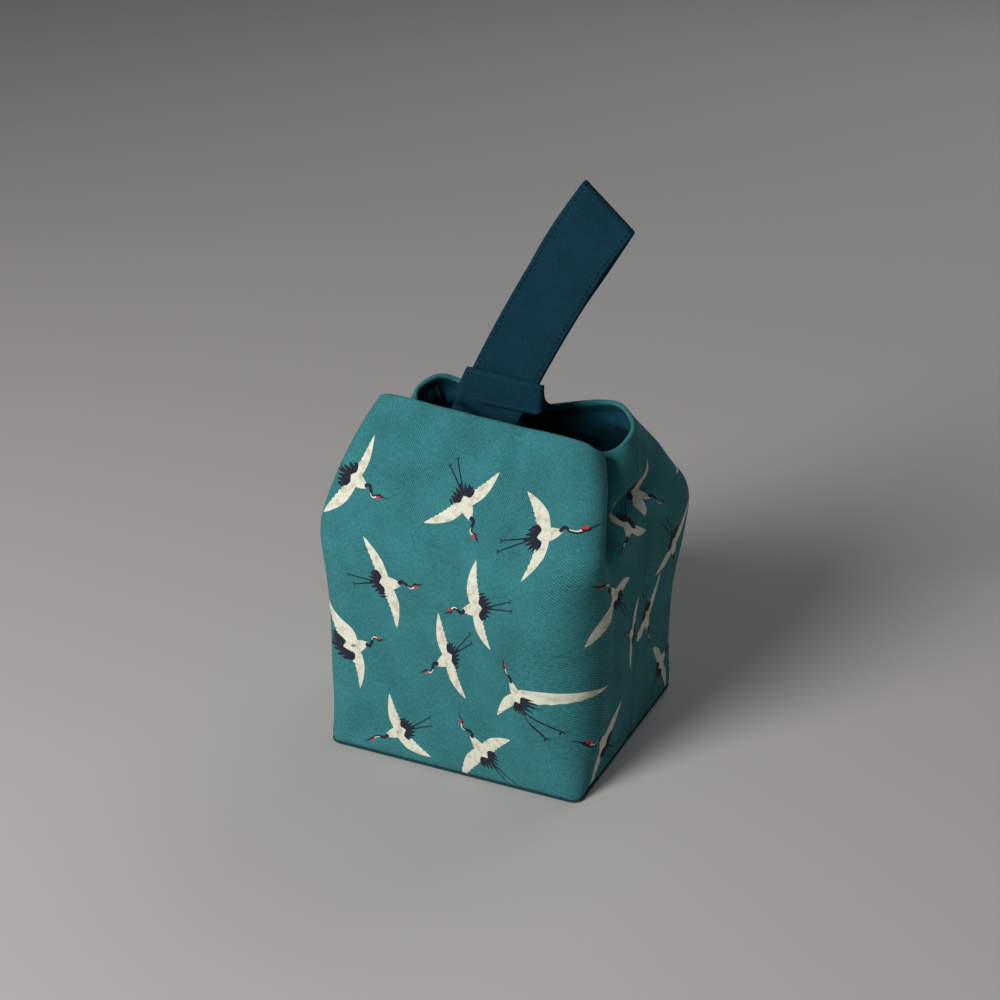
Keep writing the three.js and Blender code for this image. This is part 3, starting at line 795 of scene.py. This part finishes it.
def printed_half(name, middle, half_span, seed, nudges, materials):
    polygons = crane_flock(half_span, seed, nudges)
    across = np.linspace(-half_span, half_span, round(2 * half_span / CLOTH_STEP) + 1)
    upward = np.linspace(0, ROLL_END, round(ROLL_END / BORDER_STEP) + 1)
    points = flat_border(across, upward)
    faces = [list(range(len(points)))]
    colours = [TEAL]
    for colour, shape in polygons:
        first = len(points)
        points += [(float(u), float(v)) for u, v in shape]
        faces.append(counterclockwise(list(range(first, len(points))), shape))
        colours.append(colour)
    tree = kdtree.KDTree(len(points))
    for i, (u, v) in enumerate(points):
        tree.insert((u, v, 0), i)
    tree.balance()
    points += fill_points(across, half_span, tree, seed + FILL_SEED)
    flat, _, triangles, _, _, sources = geometry.delaunay_2d_cdt(
        [Vector(p) for p in points], [], faces, INSIDE_ONLY, FLAT_EPSILON, True,
    )
    kept = []
    slots = []
    for triangle, source in zip(triangles, sources):
        if 0 in source:
            kept.append(tuple(triangle))
            slots.append(colours[max(source)])
    flat = np.array([tuple(p) for p in flat])
    used = np.unique(np.array(kept))
    lookup = np.full(len(flat), -1)
    lookup[used] = np.arange(len(used))
    kept = [tuple(int(lookup[i]) for i in triangle) for triangle in kept]
    flat = flat[used]
    shape = cloth_point(middle + flat[:, 0], flat[:, 1])
    return add_mesh(name, shape, kept, materials, flat, slots)


# Puff of the lining under the rim, held flat where a strap or tail is sewn on
def lining_puff(u, v, sewn):
    below = eased((RIM_RUN - PUFF_DROP - v) / PUFF_EASE)
    hem = np.clip(1 - np.abs(RIM_RUN - HEM_DROP - v) / HEM_DROP, 0, 1)
    folds = noise_at(u, v, *LONG_FOLDS) + 0.5 * noise_at(u, v, *SHORT_FOLDS)
    clear = 1 - bell(np.abs(u), sewn, SEWN_SPREAD) ** 0.5
    return clear * ((PUFF + PUFF_FOLDS * np.clip(folds, *FOLD_LIMITS)) * below + HEM_PUFF * hem)


def lining_half(name, middle, half_span, sewn, material):
    across = np.linspace(-half_span, half_span, round(2 * half_span / LINING_STEP) + 1)
    upward = np.linspace(LINING_FOOT, RIM_RUN - LINING_TOP_GAP, round(RIM_RUN / LINING_STEP) + 1)
    u, v = (grid.ravel() for grid in np.meshgrid(across, upward))
    shape = cloth_point(middle + u, v, LINING_DEPTH + lining_puff(u, v, sewn))
    faces = [f[::-1] for f in grid_faces(len(upward), len(across))]
    return add_mesh(name, shape, faces, [material], np.stack([u, v], axis=1))


# Base plates, with rounded edges

def plate(name, inset, foot, top, edge, material):
    rings = ((inset + edge, foot), (inset, foot + edge), (inset, top - edge * 0.5), (inset + edge, top))
    place = np.linspace(0, LAST_STATION, PLATE_STEPS)
    points = []
    uv = []
    for ring_inset, z in rings:
        width, depth, radius = (np.full(PLATE_STEPS, size) for size in (
            BODY_WIDTH - 2 * ring_inset, BODY_DEPTH - 2 * ring_inset,
            max(BASE_RADIUS - ring_inset, PLATE_CORNER),
        ))
        x, y = outline_at(place, width, depth, radius)
        loop = list(zip(x, y)) + list(zip(-x[-2:0:-1], y[-2:0:-1]))
        points += [(a, b, z) for a, b in loop]
        uv += loop
    faces = tube_faces(len(rings), len(points) // len(rings))
    return add_mesh(name, points, faces, [material], uv)


# Sewing thread: small rounded dashes along a path, lying on a face

def stitches(name, rows, material, pitch=2.4, dash=1.7, radius=0.24):
    points = []
    faces = []
    dash_faces = tube_faces(len(DASH_RINGS), DASH_SIDES)
    for path, normals in rows:
        path = np.asarray(path)
        normals = np.asarray(normals)
        length = np.concatenate([[0], np.cumsum(np.linalg.norm(np.diff(path, axis=0), axis=1))])
        for start in np.arange(pitch * DASH_START, length[-1] - dash, pitch):
            ends = [
                np.array([np.interp(start + dash * t, length, path[:, k]) for k in range(3)])
                for t in (0, 0.5, 1)
            ]
            normal = unit([np.interp(start + dash / 2, length, normals[:, k]) for k in range(3)])
            run = unit(ends[2] - ends[0])
            side = np.cross(normal, run)
            first = len(points)
            for along, size, lift in DASH_RINGS:
                base = ends[1] + run * dash * along + normal * radius * lift
                for k in range(DASH_SIDES):
                    turn = 2 * math.pi * k / DASH_SIDES
                    spoke = math.cos(turn) * side + math.sin(turn) * normal
                    points.append(base + radius * size * spoke)
            faces += [tuple(first + i for i in f) for f in dash_faces]
    return add_mesh(name, points, faces, [material])


def edge_rows(stops, reach, lift, signs):
    rows = []
    for edge in (-1, 1):
        for sign in signs:
            path = [centre + side * edge * reach + face * sign * lift for centre, side, face in stops]
            rows.append((path, [face * sign for _, _, face in stops]))
    return rows


def rim_stitch_rows(middle, half_span):
    reach = half_span - RIM_STITCH_END
    run = middle + np.linspace(-reach, reach, RIM_STITCH_STEPS)
    height = np.full(run.size, RIM_RUN - RIM_STITCH_DROP)
    path = cloth_point(run, height, LINING_DEPTH + THREAD_SINK)
    _, outside, _ = face_and_axes(run, height)
    return [(path, -outside)]


# Flat folded strips, each given as stops of centre, side and face

def round_edge(half, thickness, sign):
    turns = np.linspace(0, math.pi, EDGE_STEPS)[1:-1]
    return [
        (sign * (half + thickness / 2 * math.sin(t)), -sign * thickness / 2 * math.cos(t)) for t in turns
    ]


def band(name, stops, width, thickness, material, groove=True, ends=(True, True)):
    half = width / 2 - thickness / 2
    across = np.linspace(-half, half, ACROSS_STEPS)
    dent = np.zeros(ACROSS_STEPS)
    if groove:
        near = np.abs(np.abs(across) - (width / 2 - STITCH_INSET))
        dent = GROOVE_DEPTH * bell(near, 0, GROOVE_WIDTH)
    section = [(a, -thickness / 2 + d) for a, d in zip(across, dent)]
    section += round_edge(half, thickness, 1)
    section += [(a, thickness / 2 - d) for a, d in zip(across[::-1], dent[::-1])]
    section += round_edge(half, thickness, -1)
    points = []
    uv = []
    length = 0.0
    last = stops[0][0]
    for centre, side, face in stops:
        length += np.linalg.norm(centre - last)
        last = centre
        for a, f in section:
            points.append(centre + side * a + face * f)
            uv.append((a, length))
    piece = add_mesh(name, points, tube_faces(len(stops), len(section), ends), [material], uv)
    turn_outward(piece.data)
    return piece


def turn_outward(mesh):
    volume = 0.0
    mesh.calc_loop_triangles()
    for triangle in mesh.loop_triangles:
        a, b, c = (mesh.vertices[i].co for i in triangle.vertices)
        volume += a.dot(b.cross(c))
    if volume < 0:
        mesh.flip_normals()


def unit(vector):
    vector = np.asarray(vector, float)
    return vector / np.linalg.norm(vector)


def direction(path, i):
    return path[min(i + 1, len(path) - 1)] - path[max(i - 1, 0)]


def first_past(stops, y):
    return next(i for i, (centre, _, _) in enumerate(stops) if centre[1] > y)


# Strap

def strap_axis(length):
    turn = (LEAN_TOP - LEAN_FOOT) / STRAP_LENGTH
    lean = LEAN_FOOT + turn * length
    x = STRAP_X + (math.cos(LEAN_FOOT) - math.cos(lean)) / turn
    z = STRAP_FOOT_Z + (math.sin(lean) - math.sin(LEAN_FOOT)) / turn
    return np.array([x, STRAP_Y, z]), lean


def loop_spread(length):
    share = min(max((length - BOW_START) / (STRAIGHT_LENGTH - BOW_START), 0), 1)
    base = LAYER_SPACING / 2 + (TOP_FOLD - LAYER_SPACING / 2) * share
    return base + LOOP_BOW * math.sin(math.pi * share)


# Length up the strap and offset from its middle: up one layer, over the fold and down the other
def loop_trace():
    lengths = [STRAIGHT_LENGTH * i / LOOP_STEPS for i in range(LOOP_STEPS + 1)]
    trace = [(length, -loop_spread(length)) for length in lengths]
    back = [(length, -offset) for length, offset in trace[::-1]]
    for i in range(1, TOP_STEPS):
        turn = math.pi * i / TOP_STEPS
        trace.append((STRAIGHT_LENGTH + TOP_FOLD * math.sin(turn), -TOP_FOLD * math.cos(turn)))
    return np.array(trace + back)


def loop_stops():
    trace = loop_trace()
    stops = []
    for i, (length, offset) in enumerate(trace):
        run = unit(direction(trace, i))
        centre, lean = strap_axis(length)
        along = np.array([math.sin(lean), 0, math.cos(lean)])
        side = np.array([math.cos(lean), 0, -math.sin(lean)])
        face = -run[1] * along + np.array([0, run[0], 0])
        skew = FOLD_SKEW * eased((length - SKEW_START) / (STRAP_LENGTH - SKEW_START))
        centre = centre - along * skew + np.array([0, offset, 0])
        stops.append((centre, side - along * (2 * skew / STRAP_WIDTH), face))
    return stops


def inside_point(run, height, depth):
    return cloth_point(np.array([run]), np.array([height]), depth)[0]


def flap_run(x, share, front):
    narrow = MOUTH_HALF - FOLD_RADIUS if front else BACK_NARROW
    wide = SHOULDER_RUNS[PANEL_EDGE]
    run = x * wide / (wide + (narrow - wide) * share)
    return run if front else BACK_RUN - run


def leg_point(share, depth):
    return inside_point(flap_run(STRAP_END_X, share, True), WALL_RUN + share * SLOPE_RUN, depth)


def leg_stops(offset):
    low = leg_point(LEG_START, STRAP_DEPTH)
    rim = leg_point(LEG_RIM, STRAP_DEPTH + LEG_RIM_CLEAR)
    up_strap = np.array([math.sin(LEAN_FOOT), 0, math.cos(LEAN_FOOT)])
    foot = np.array([STRAP_X, STRAP_Y - LAYER_SPACING / 2, STRAP_FOOT_Z]) + up_strap * LEG_LAP
    bend = rim + (foot - up_strap * LEG_BEND_DROP - rim) * LEG_BEND_SHARE
    path = smooth_path([low, rim, bend, foot], LEG_SAMPLES, False)
    stops = []
    for i, centre in enumerate(path):
        share = i / (len(path) - 1)
        tilt = LEAN_FOOT * eased((share - LEG_TURN_START) / LEG_TURN_RUN)
        side = np.array([math.cos(tilt), 0, -math.sin(tilt)])
        face = unit(np.cross(direction(path, i), side))
        stops.append((centre + face * offset, side, face))
    return stops


def end_stops(offset):
    stops = []
    depth = STRAP_DEPTH + offset
    for share in np.linspace(SEWN_START, LEG_START, SEWN_STEPS):
        run = flap_run(STRAP_END_X, share, True)
        height = WALL_RUN + share * SLOPE_RUN
        point, outside, up = face_and_axes(np.array([run]), np.array([height]))
        side = unit(np.cross(up[0], outside[0]))
        stops.append((point[0] - outside[0] * depth, side, -outside[0]))
    return stops


# A leg is two pieces, because a piece can bend across one joint only
def strap_leg(name, offset, material):
    stops = leg_stops(offset)
    split = first_past(stops, LEG_SPLIT_Y)
    size = (STRAP_WIDTH, STRAP_THICKNESS, material)
    near = band(name + "_strap_bend", stops[split:], *size, ends=(False, True))
    far = band(name + "_strap_run", stops[:split + 1], *size, ends=(True, False))
    return near, far


# Keeper

def keeper_turned(x, y, z):
    c, s = math.cos(KEEPER_TILT), math.sin(KEEPER_TILT)
    return np.array([x * c + z * s, y, -x * s + z * c])


def keeper_outline():
    radius = KEEPER_CORNER + KEEPER_CLOTH / 2
    outline = []
    for sign, start in ((-1, 180), (1, 270)):
        for k in range(KEEPER_TURN_STEPS + 1):
            turn = math.radians(start + 90 * k / KEEPER_TURN_STEPS)
            outline.append((
                sign * (KEEPER_HALF_X - radius) + radius * math.cos(turn),
                radius - KEEPER_HALF_Y + radius * math.sin(turn),
                math.cos(turn), math.sin(turn),
            ))
        if sign < 0:
            x, y, _, _ = outline[-1]
            for k in range(1, KEEPER_FRONT_STEPS):
                puff = KEEPER_PUFF * math.sin(math.pi * k / KEEPER_FRONT_STEPS)
                outline.append((x * (1 - 2 * k / KEEPER_FRONT_STEPS), y - puff, 0.0, -1.0))
    return outline


def keeper_stops():
    middle, _ = strap_axis(KEEPER_HEIGHT / 2 + KEEPER_LIFT)
    outline = keeper_outline()
    stops = []
    for i, (x, y, nx, ny) in enumerate(outline):
        ease = eased((x / KEEPER_HALF_X + KEEPER_EASE_FROM) / (1 + KEEPER_EASE_FROM))
        height = keeper_turned(math.tan(KEEPER_SKEW * (1 - ease)), 0, 1 - KEEPER_NARROW * ease)
        from_end = min(i, len(outline) - 1 - i)
        height = height * (1 - KEEPER_END_TAPER * max(1 - from_end / KEEPER_TURN_STEPS, 0))
        centre = middle + keeper_turned(x + KEEPER_SHIFT + KEEPER_REACH * ease, y, 0)
        stops.append((centre, height, keeper_turned(nx, ny, 0)))
    return stops


def tail_stops(side):
    edges = []
    centre, height, _ = keeper_stops()[-1 if side > 0 else 0]
    for start, shape, x in zip(TAIL_STARTS, (TAIL_OUTER[side], TAIL_INNER[side]), TAIL_X[side]):
        path = [centre + start * height * KEEPER_HEIGHT] + [np.array(point, float) for point in shape]
        for share, sink in TAIL_SINKS:
            run = flap_run(x, share, False)
            path.append(inside_point(run, WALL_RUN + share * SLOPE_RUN, LINING_DEPTH + sink))
        edges.append(smooth_path(path, TAIL_SAMPLES, False))
    outer, inner = edges
    centres = (outer + inner) / 2
    stops = []
    for i, centre in enumerate(centres):
        width = (outer[i] - inner[i]) / KEEPER_HEIGHT
        stops.append((centre, width, unit(np.cross(direction(centres, i), width))))
    return stops


# A tail is two pieces, for the same reason as a leg
def keeper_side(name, side, material):
    stops = tail_stops(side)
    split = first_past(stops, TAIL_SPLIT_Y)
    size = (KEEPER_HEIGHT, KEEPER_CLOTH, material, False)
    near = band("keeper_" + name + "_side", stops[:split + 1], *size, ends=(True, False))
    far = band("keeper_" + name + "_end", stops[split:], *size, ends=(False, True))
    return near, far


# Materials

# Pitch of the weave in mm of cloth
TWILL_PITCH = 0.95
PLAIN_PITCH = 0.7

# Share of each pattern in the light and dark of the cloth
WEAVE_TONE = 1.5
FLECK_TONE = 1.9
THREAD_TONE = 0.9
CLOUD_TONE = 1.4

# Weights of the woven ribs and of the flecks in the relief
RIB_RELIEF = 0.34
WEFT_RELIEF = 0.12
CHECK_RELIEF = 0.4
FLECK_RELIEF = 0.5
TWILL_SLANT = 0.8

# Scales of the noise on the cloth, and the threads' wobble
FINE_SCALE = 100.0
CLOUD_SCALE = 5.5
WORN_SCALE = 32.0
WORN_RANGE = (0.48, 0.66)
WOBBLE_SCALE = 70.0
WOBBLE = 0.009


class Nodes:
    def __init__(self, name, colour, roughness, sheen):
        self.material = bpy.data.materials.new(name)
        self.material.use_nodes = True
        self.tree = self.material.node_tree
        self.shader = self.tree.nodes["Principled BSDF"]
        self.shader.inputs["Base Color"].default_value = (*colour, 1)
        self.shader.inputs["Roughness"].default_value = roughness
        self.shader.inputs["Sheen Weight"].default_value = sheen
        self.shader.inputs["Sheen Roughness"].default_value = 0.5
        self.shader.inputs["Specular IOR Level"].default_value = 0.12

    def add(self, kind, **values):
        node = self.tree.nodes.new(kind)
        for key, value in values.items():
            setattr(node, key, value)
        return node

    def link(self, source, target):
        self.tree.links.new(source, target)

    def math(self, operation, a, b=0.0):
        node = self.add("ShaderNodeMath", operation=operation)
        for socket, value in zip(node.inputs, (a, b)):
            if isinstance(value, (int, float)):
                socket.default_value = value
            else:
                self.link(value, socket)
        return node.outputs[0]

    def wave(self, value, per):
        return self.math("SINE", self.math("MULTIPLY", value, per))

    def noise(self, vector, scale, detail=2.0, stretch=(1, 1, 1)):
        mapping = self.add("ShaderNodeMapping")
        mapping.inputs["Scale"].default_value = stretch
        self.link(vector, mapping.inputs["Vector"])
        node = self.add("ShaderNodeTexNoise")
        node.inputs["Scale"].default_value = scale
        node.inputs["Detail"].default_value = detail
        self.link(mapping.outputs[0], node.inputs["Vector"])
        return node.outputs["Fac"]

    def bump(self, height, strength, depth):
        bump = self.add("ShaderNodeBump")
        bump.inputs["Strength"].default_value = strength
        bump.inputs["Distance"].default_value = depth * MM
        self.link(height, bump.inputs["Height"])
        self.link(bump.outputs[0], self.shader.inputs["Normal"])


def weave_height(nodes, place, twill):
    apart = nodes.add("ShaderNodeSeparateXYZ")
    nodes.link(place, apart.inputs[0])
    wobble = nodes.math("MULTIPLY", nodes.noise(place, WOBBLE_SCALE), WOBBLE)
    x = nodes.math("ADD", apart.outputs[0], wobble)
    y = nodes.math("SUBTRACT", apart.outputs[1], wobble)
    per = 2 * math.pi / (UV_SCALE * (TWILL_PITCH if twill else PLAIN_PITCH))
    weft = nodes.wave(y, per)
    if twill:
        rib = nodes.wave(nodes.math("ADD", x, nodes.math("MULTIPLY", y, TWILL_SLANT)), per)
        ribs = nodes.math("MULTIPLY", rib, RIB_RELIEF)
        return nodes.math("ADD", ribs, nodes.math("MULTIPLY", weft, WEFT_RELIEF))
    return nodes.math("MULTIPLY", nodes.math("MULTIPLY", nodes.wave(x, per), weft), CHECK_RELIEF)


def worn_colour(nodes, place, colour, worn):
    patch = nodes.add("ShaderNodeMapRange")
    patch.inputs["From Min"].default_value, patch.inputs["From Max"].default_value = WORN_RANGE
    nodes.link(nodes.noise(place, WORN_SCALE, 3.0), patch.inputs["Value"])
    stain = nodes.add("ShaderNodeMix", data_type="RGBA")
    nodes.link(patch.outputs[0], stain.inputs["Factor"])
    stain.inputs["A"].default_value = (*colour, 1)
    stain.inputs["B"].default_value = (*worn, 1)
    return stain.outputs["Result"]


def cloth_material(
    name, colour, twill, depth=0.12, contrast=0.3, roughness=0.9, sheen=0.04, worn=None,
):
    nodes = Nodes(name, colour, roughness, sheen)
    place = nodes.add("ShaderNodeUVMap", uv_map="UVMap").outputs[0]
    weave = weave_height(nodes, place, twill)
    fleck = nodes.noise(place, FINE_SCALE, 3.0, (1.6, 0.55, 1))
    thread = nodes.noise(place, FINE_SCALE, 2.0, (0.3, 1.9, 1))
    cloud = nodes.noise(place, CLOUD_SCALE, 3.0)
    tone = nodes.math("MULTIPLY", weave, WEAVE_TONE * contrast)
    for pattern, share in ((fleck, FLECK_TONE), (thread, THREAD_TONE), (cloud, CLOUD_TONE)):
        swing = nodes.math("SUBTRACT", pattern, 0.5)
        tone = nodes.math("ADD", tone, nodes.math("MULTIPLY", swing, share * contrast))
    level = nodes.math("ADD", tone, 1.0)
    mix = nodes.add("ShaderNodeMix", data_type="RGBA", blend_type="MULTIPLY")
    mix.inputs["Factor"].default_value = 1.0
    mix.inputs["A"].default_value = (*colour, 1)
    if worn is not None:
        nodes.link(worn_colour(nodes, place, colour, worn), mix.inputs["A"])
    grey = nodes.add("ShaderNodeCombineColor")
    for socket in grey.inputs:
        nodes.link(level, socket)
    nodes.link(grey.outputs[0], mix.inputs["B"])
    nodes.link(mix.outputs["Result"], nodes.shader.inputs["Base Color"])
    height = nodes.math("ADD", weave, nodes.math("MULTIPLY", fleck, FLECK_RELIEF))
    nodes.bump(height, 0.6, depth)
    return nodes.material


def thread_material(name, colour):
    nodes = Nodes(name, colour, 0.7, 0.0)
    place = nodes.add("ShaderNodeTexCoord").outputs["Object"]
    twist = nodes.noise(place, 4000.0, 1.0)
    nodes.bump(twist, 0.5, 0.1)
    ramp = nodes.add("ShaderNodeMapRange")
    ramp.inputs["To Min"].default_value = 0.5
    ramp.inputs["To Max"].default_value = 0.75
    nodes.link(twist, ramp.inputs["Value"])
    nodes.link(ramp.outputs[0], nodes.shader.inputs["Roughness"])
    return nodes.material


COTTON = {"twill": False, "contrast": 0.4, "roughness": 0.95, "sheen": 0.0}
teal = cloth_material("teal_twill", (0.036, 0.188, 0.205), True, contrast=0.5, depth=0.2)
cream = cloth_material("cream_print", (0.74, 0.74, 0.63), True, contrast=0.14, worn=(0.55, 0.52, 0.4))
ink = cloth_material("ink_print", (0.018, 0.023, 0.036), True, contrast=0.3)
red = cloth_material("red_print", (0.58, 0.045, 0.05), True, contrast=0.15)
plain = cloth_material("plain_petrol_cotton", (0.0035, 0.031, 0.05), **COTTON)
# Same petrol cotton as the strap, made lighter: painted fill light on the lining, which the lamps reach
# too little inside the mouth
lining_cotton_painted_light = cloth_material("petrol_lining_cotton", (0.0065, 0.056, 0.088), **COTTON)
base_cloth = cloth_material("dark_teal_base", (0.008, 0.045, 0.058), False, contrast=0.35)
thread = thread_material("petrol_thread", (0.01, 0.07, 0.095))
dark_thread = thread_material("dark_thread", (0.001, 0.007, 0.012))

# Pieces

BACK_SPAN = BACK_RUN - SEAM_RUN
printed = [teal, cream, ink, red]
front_cloth = printed_half("front_printed_cloth", 0.0, SEAM_RUN, FRONT_SEED, FRONT_NUDGES, printed)
back_cloth = printed_half("back_printed_cloth", BACK_RUN, BACK_SPAN, BACK_SEED, {}, printed)
front_lining = lining_half("front_lining", 0.0, SEAM_RUN, 0.0, lining_cotton_painted_light)
back_lining = lining_half("back_lining", BACK_RUN, BACK_SPAN, BACK_SEWN, lining_cotton_painted_light)
front_rim_stitches = stitches("front_rim_stitches", rim_stitch_rows(0.0, SEAM_RUN), dark_thread)
back_rim_stitches = stitches("back_rim_stitches", rim_stitch_rows(BACK_RUN, BACK_SPAN), dark_thread)

base_panel = plate("base_cloth", inset=0.5, foot=0.0, top=WALL_FOOT, edge=0.4, material=base_cloth)
base_floor = plate("base_inner_lining", inset=3.6, foot=3.2, top=4.4, edge=0.3, material=plain)

wrist_loop = band("wrist_loop_strap", loop_stops(), STRAP_WIDTH, STRAP_THICKNESS, plain)
wrist_rows = edge_rows(
    loop_stops(), STRAP_WIDTH / 2 - STITCH_INSET, STRAP_THICKNESS / 2 - THREAD_SINK, (-1, 1),
)
wrist_stitches = stitches("wrist_loop_stitches", wrist_rows, dark_thread)
front_bend, front_leg = strap_leg("front", 0.0, plain)
rear_bend, rear_leg = strap_leg("rear", LAYER_SPACING, plain)
front_end = band("front_sewn_end", end_stops(0.0), STRAP_WIDTH, STRAP_THICKNESS, plain)
rear_end = band("rear_sewn_end", end_stops(LAYER_SPACING), STRAP_WIDTH, STRAP_THICKNESS, plain)

keeper = band("keeper_front", keeper_stops(), KEEPER_HEIGHT, KEEPER_CLOTH, plain, groove=False)
right_near, right_far = keeper_side("right", 1, plain)
left_near, left_far = keeper_side("left", -1, plain)
keeper_rows = edge_rows(
    keeper_stops(), KEEPER_HEIGHT / 2 - KEEPER_STITCH_INSET, KEEPER_CLOTH / 2 + KEEPER_THREAD_LIFT, (1,),
)
keeper_stitches = stitches("keeper_stitches", keeper_rows, thread, pitch=1.9, dash=1.3, radius=0.17)

# Motion: the printed cloth, linings, rim stitches, strap legs and keeper tails are baked in place; the
# sewn strap ends go with the front flap, the base plates with the pouch body, and the strap loop and
# keeper with their own bodies

for piece in (front_cloth, front_lining, front_rim_stitches):
    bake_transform(piece)
for piece in (back_cloth, back_lining, back_rim_stitches):
    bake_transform(piece)
for piece in (front_bend, rear_bend):
    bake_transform(piece)
for piece in (front_leg, rear_leg):
    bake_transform(piece)
for piece in (right_near, left_near):
    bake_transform(piece)
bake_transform(right_far)
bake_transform(left_far)
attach(front_end, "front_flap")
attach(rear_end, "front_flap")
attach(base_panel, "pouch_body")
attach(base_floor, "pouch_body")
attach(wrist_loop, "strap_loop")
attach(wrist_stitches, "strap_loop")
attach(keeper, "keeper")
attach(keeper_stitches, "keeper")

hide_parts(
    "front_wall_outer", "front_wall_fleece", "front_flap_outer", "front_flap_fleece",
    "right_gusset_front_outer", "right_gusset_front_fleece",
    "left_gusset_front_outer", "left_gusset_front_fleece",
)
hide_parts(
    "back_wall_outer", "back_wall_fleece", "back_flap_outer", "back_flap_fleece",
    "right_gusset_back_outer", "right_gusset_back_fleece",
    "left_gusset_back_outer", "left_gusset_back_fleece",
)
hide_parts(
    "front_wall_lining", "front_flap_lining",
    "right_gusset_front_lining", "left_gusset_front_lining",
)
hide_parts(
    "back_wall_lining", "back_flap_lining",
    "right_gusset_back_lining", "left_gusset_back_lining",
)
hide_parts("base_panel")
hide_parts("base_lining", "base_board")
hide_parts("front_strap_leg")
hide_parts("rear_strap_leg")
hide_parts("front_strap_end")
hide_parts("rear_strap_end")
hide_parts("keeper_right_tail")
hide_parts("keeper_left_tail")
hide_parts("keeper_right_end")
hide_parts("keeper_left_end")
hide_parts("wrist_strap")
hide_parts("keeper_band")

# Floor, light and camera, in metres

LIGHT_TARGET = (0, 0, 0.1)
WORLD_COLOUR = (0.9, 0.95, 1.0, 1)
WORLD_STRENGTH = 0.075
FLOOR_HALF = 4
FLOOR_DROP = 0.0004
SENSOR_WIDTH = 36.0
LENS = 72.0
CAMERA_PITCH = math.radians(25.27)
CAMERA_AZIMUTH = math.radians(24.72)
CAMERA_DISTANCE = 0.855
CAMERA_TARGET = Vector((-0.0023, 0.0, 0.1063))
AIM_DROP = 0.002


def add_area(name, place, size, power, colour):
    lamp = bpy.data.lights.new(name, "AREA")
    lamp.shape = "DISK"
    lamp.size = size
    lamp.energy = power
    lamp.color = colour
    holder = bpy.data.objects.new(name, lamp)
    holder.location = place
    holder.rotation_euler = (Vector(LIGHT_TARGET) - Vector(place)).to_track_quat("-Z", "Y").to_euler()
    bpy.context.scene.collection.objects.link(holder)


add_area("key_light", place=(-0.45, -1.2, 0.85), size=0.7, power=22.0, colour=(1.0, 0.985, 0.96))
add_area("back_light", place=(0.3, 1.5, 1.3), size=1.2, power=7.0, colour=(0.94, 0.97, 1.0))

world = bpy.data.worlds.new("studio")
world.use_nodes = True
world.node_tree.nodes["Background"].inputs[0].default_value = WORLD_COLOUR
world.node_tree.nodes["Background"].inputs[1].default_value = WORLD_STRENGTH
bpy.context.scene.world = world

floor_mesh = bpy.data.meshes.new("floor")
floor_corners = [(x * FLOOR_HALF, y * FLOOR_HALF, 0) for x, y in ((-1, -1), (1, -1), (1, 1), (-1, 1))]
floor_mesh.from_pydata(floor_corners, [], [(0, 1, 2, 3)])
floor = bpy.data.objects.new("floor", floor_mesh)
floor.location.z = -FLOOR_DROP
bpy.context.scene.collection.objects.link(floor)
floor_mesh.materials.append(Nodes("pale_floor", (0.5, 0.49, 0.475), 0.9, 0.0).material)

camera_data = bpy.data.cameras.new("camera")
camera_data.sensor_width = SENSOR_WIDTH
camera_data.lens = LENS
camera_data.clip_start = 0.01
camera = bpy.data.objects.new("camera", camera_data)
bpy.context.scene.collection.objects.link(camera)
back = Vector((
    math.sin(CAMERA_AZIMUTH) * math.cos(CAMERA_PITCH),
    -math.cos(CAMERA_AZIMUTH) * math.cos(CAMERA_PITCH),
    math.sin(CAMERA_PITCH),
))
camera.location = CAMERA_TARGET + back * CAMERA_DISTANCE
look = -back - Vector((0, 0, AIM_DROP / math.cos(CAMERA_PITCH)))
camera.rotation_euler = look.to_track_quat("-Z", "Y").to_euler()
bpy.context.scene.camera = camera
bpy.context.scene.view_settings.view_transform = "Standard"
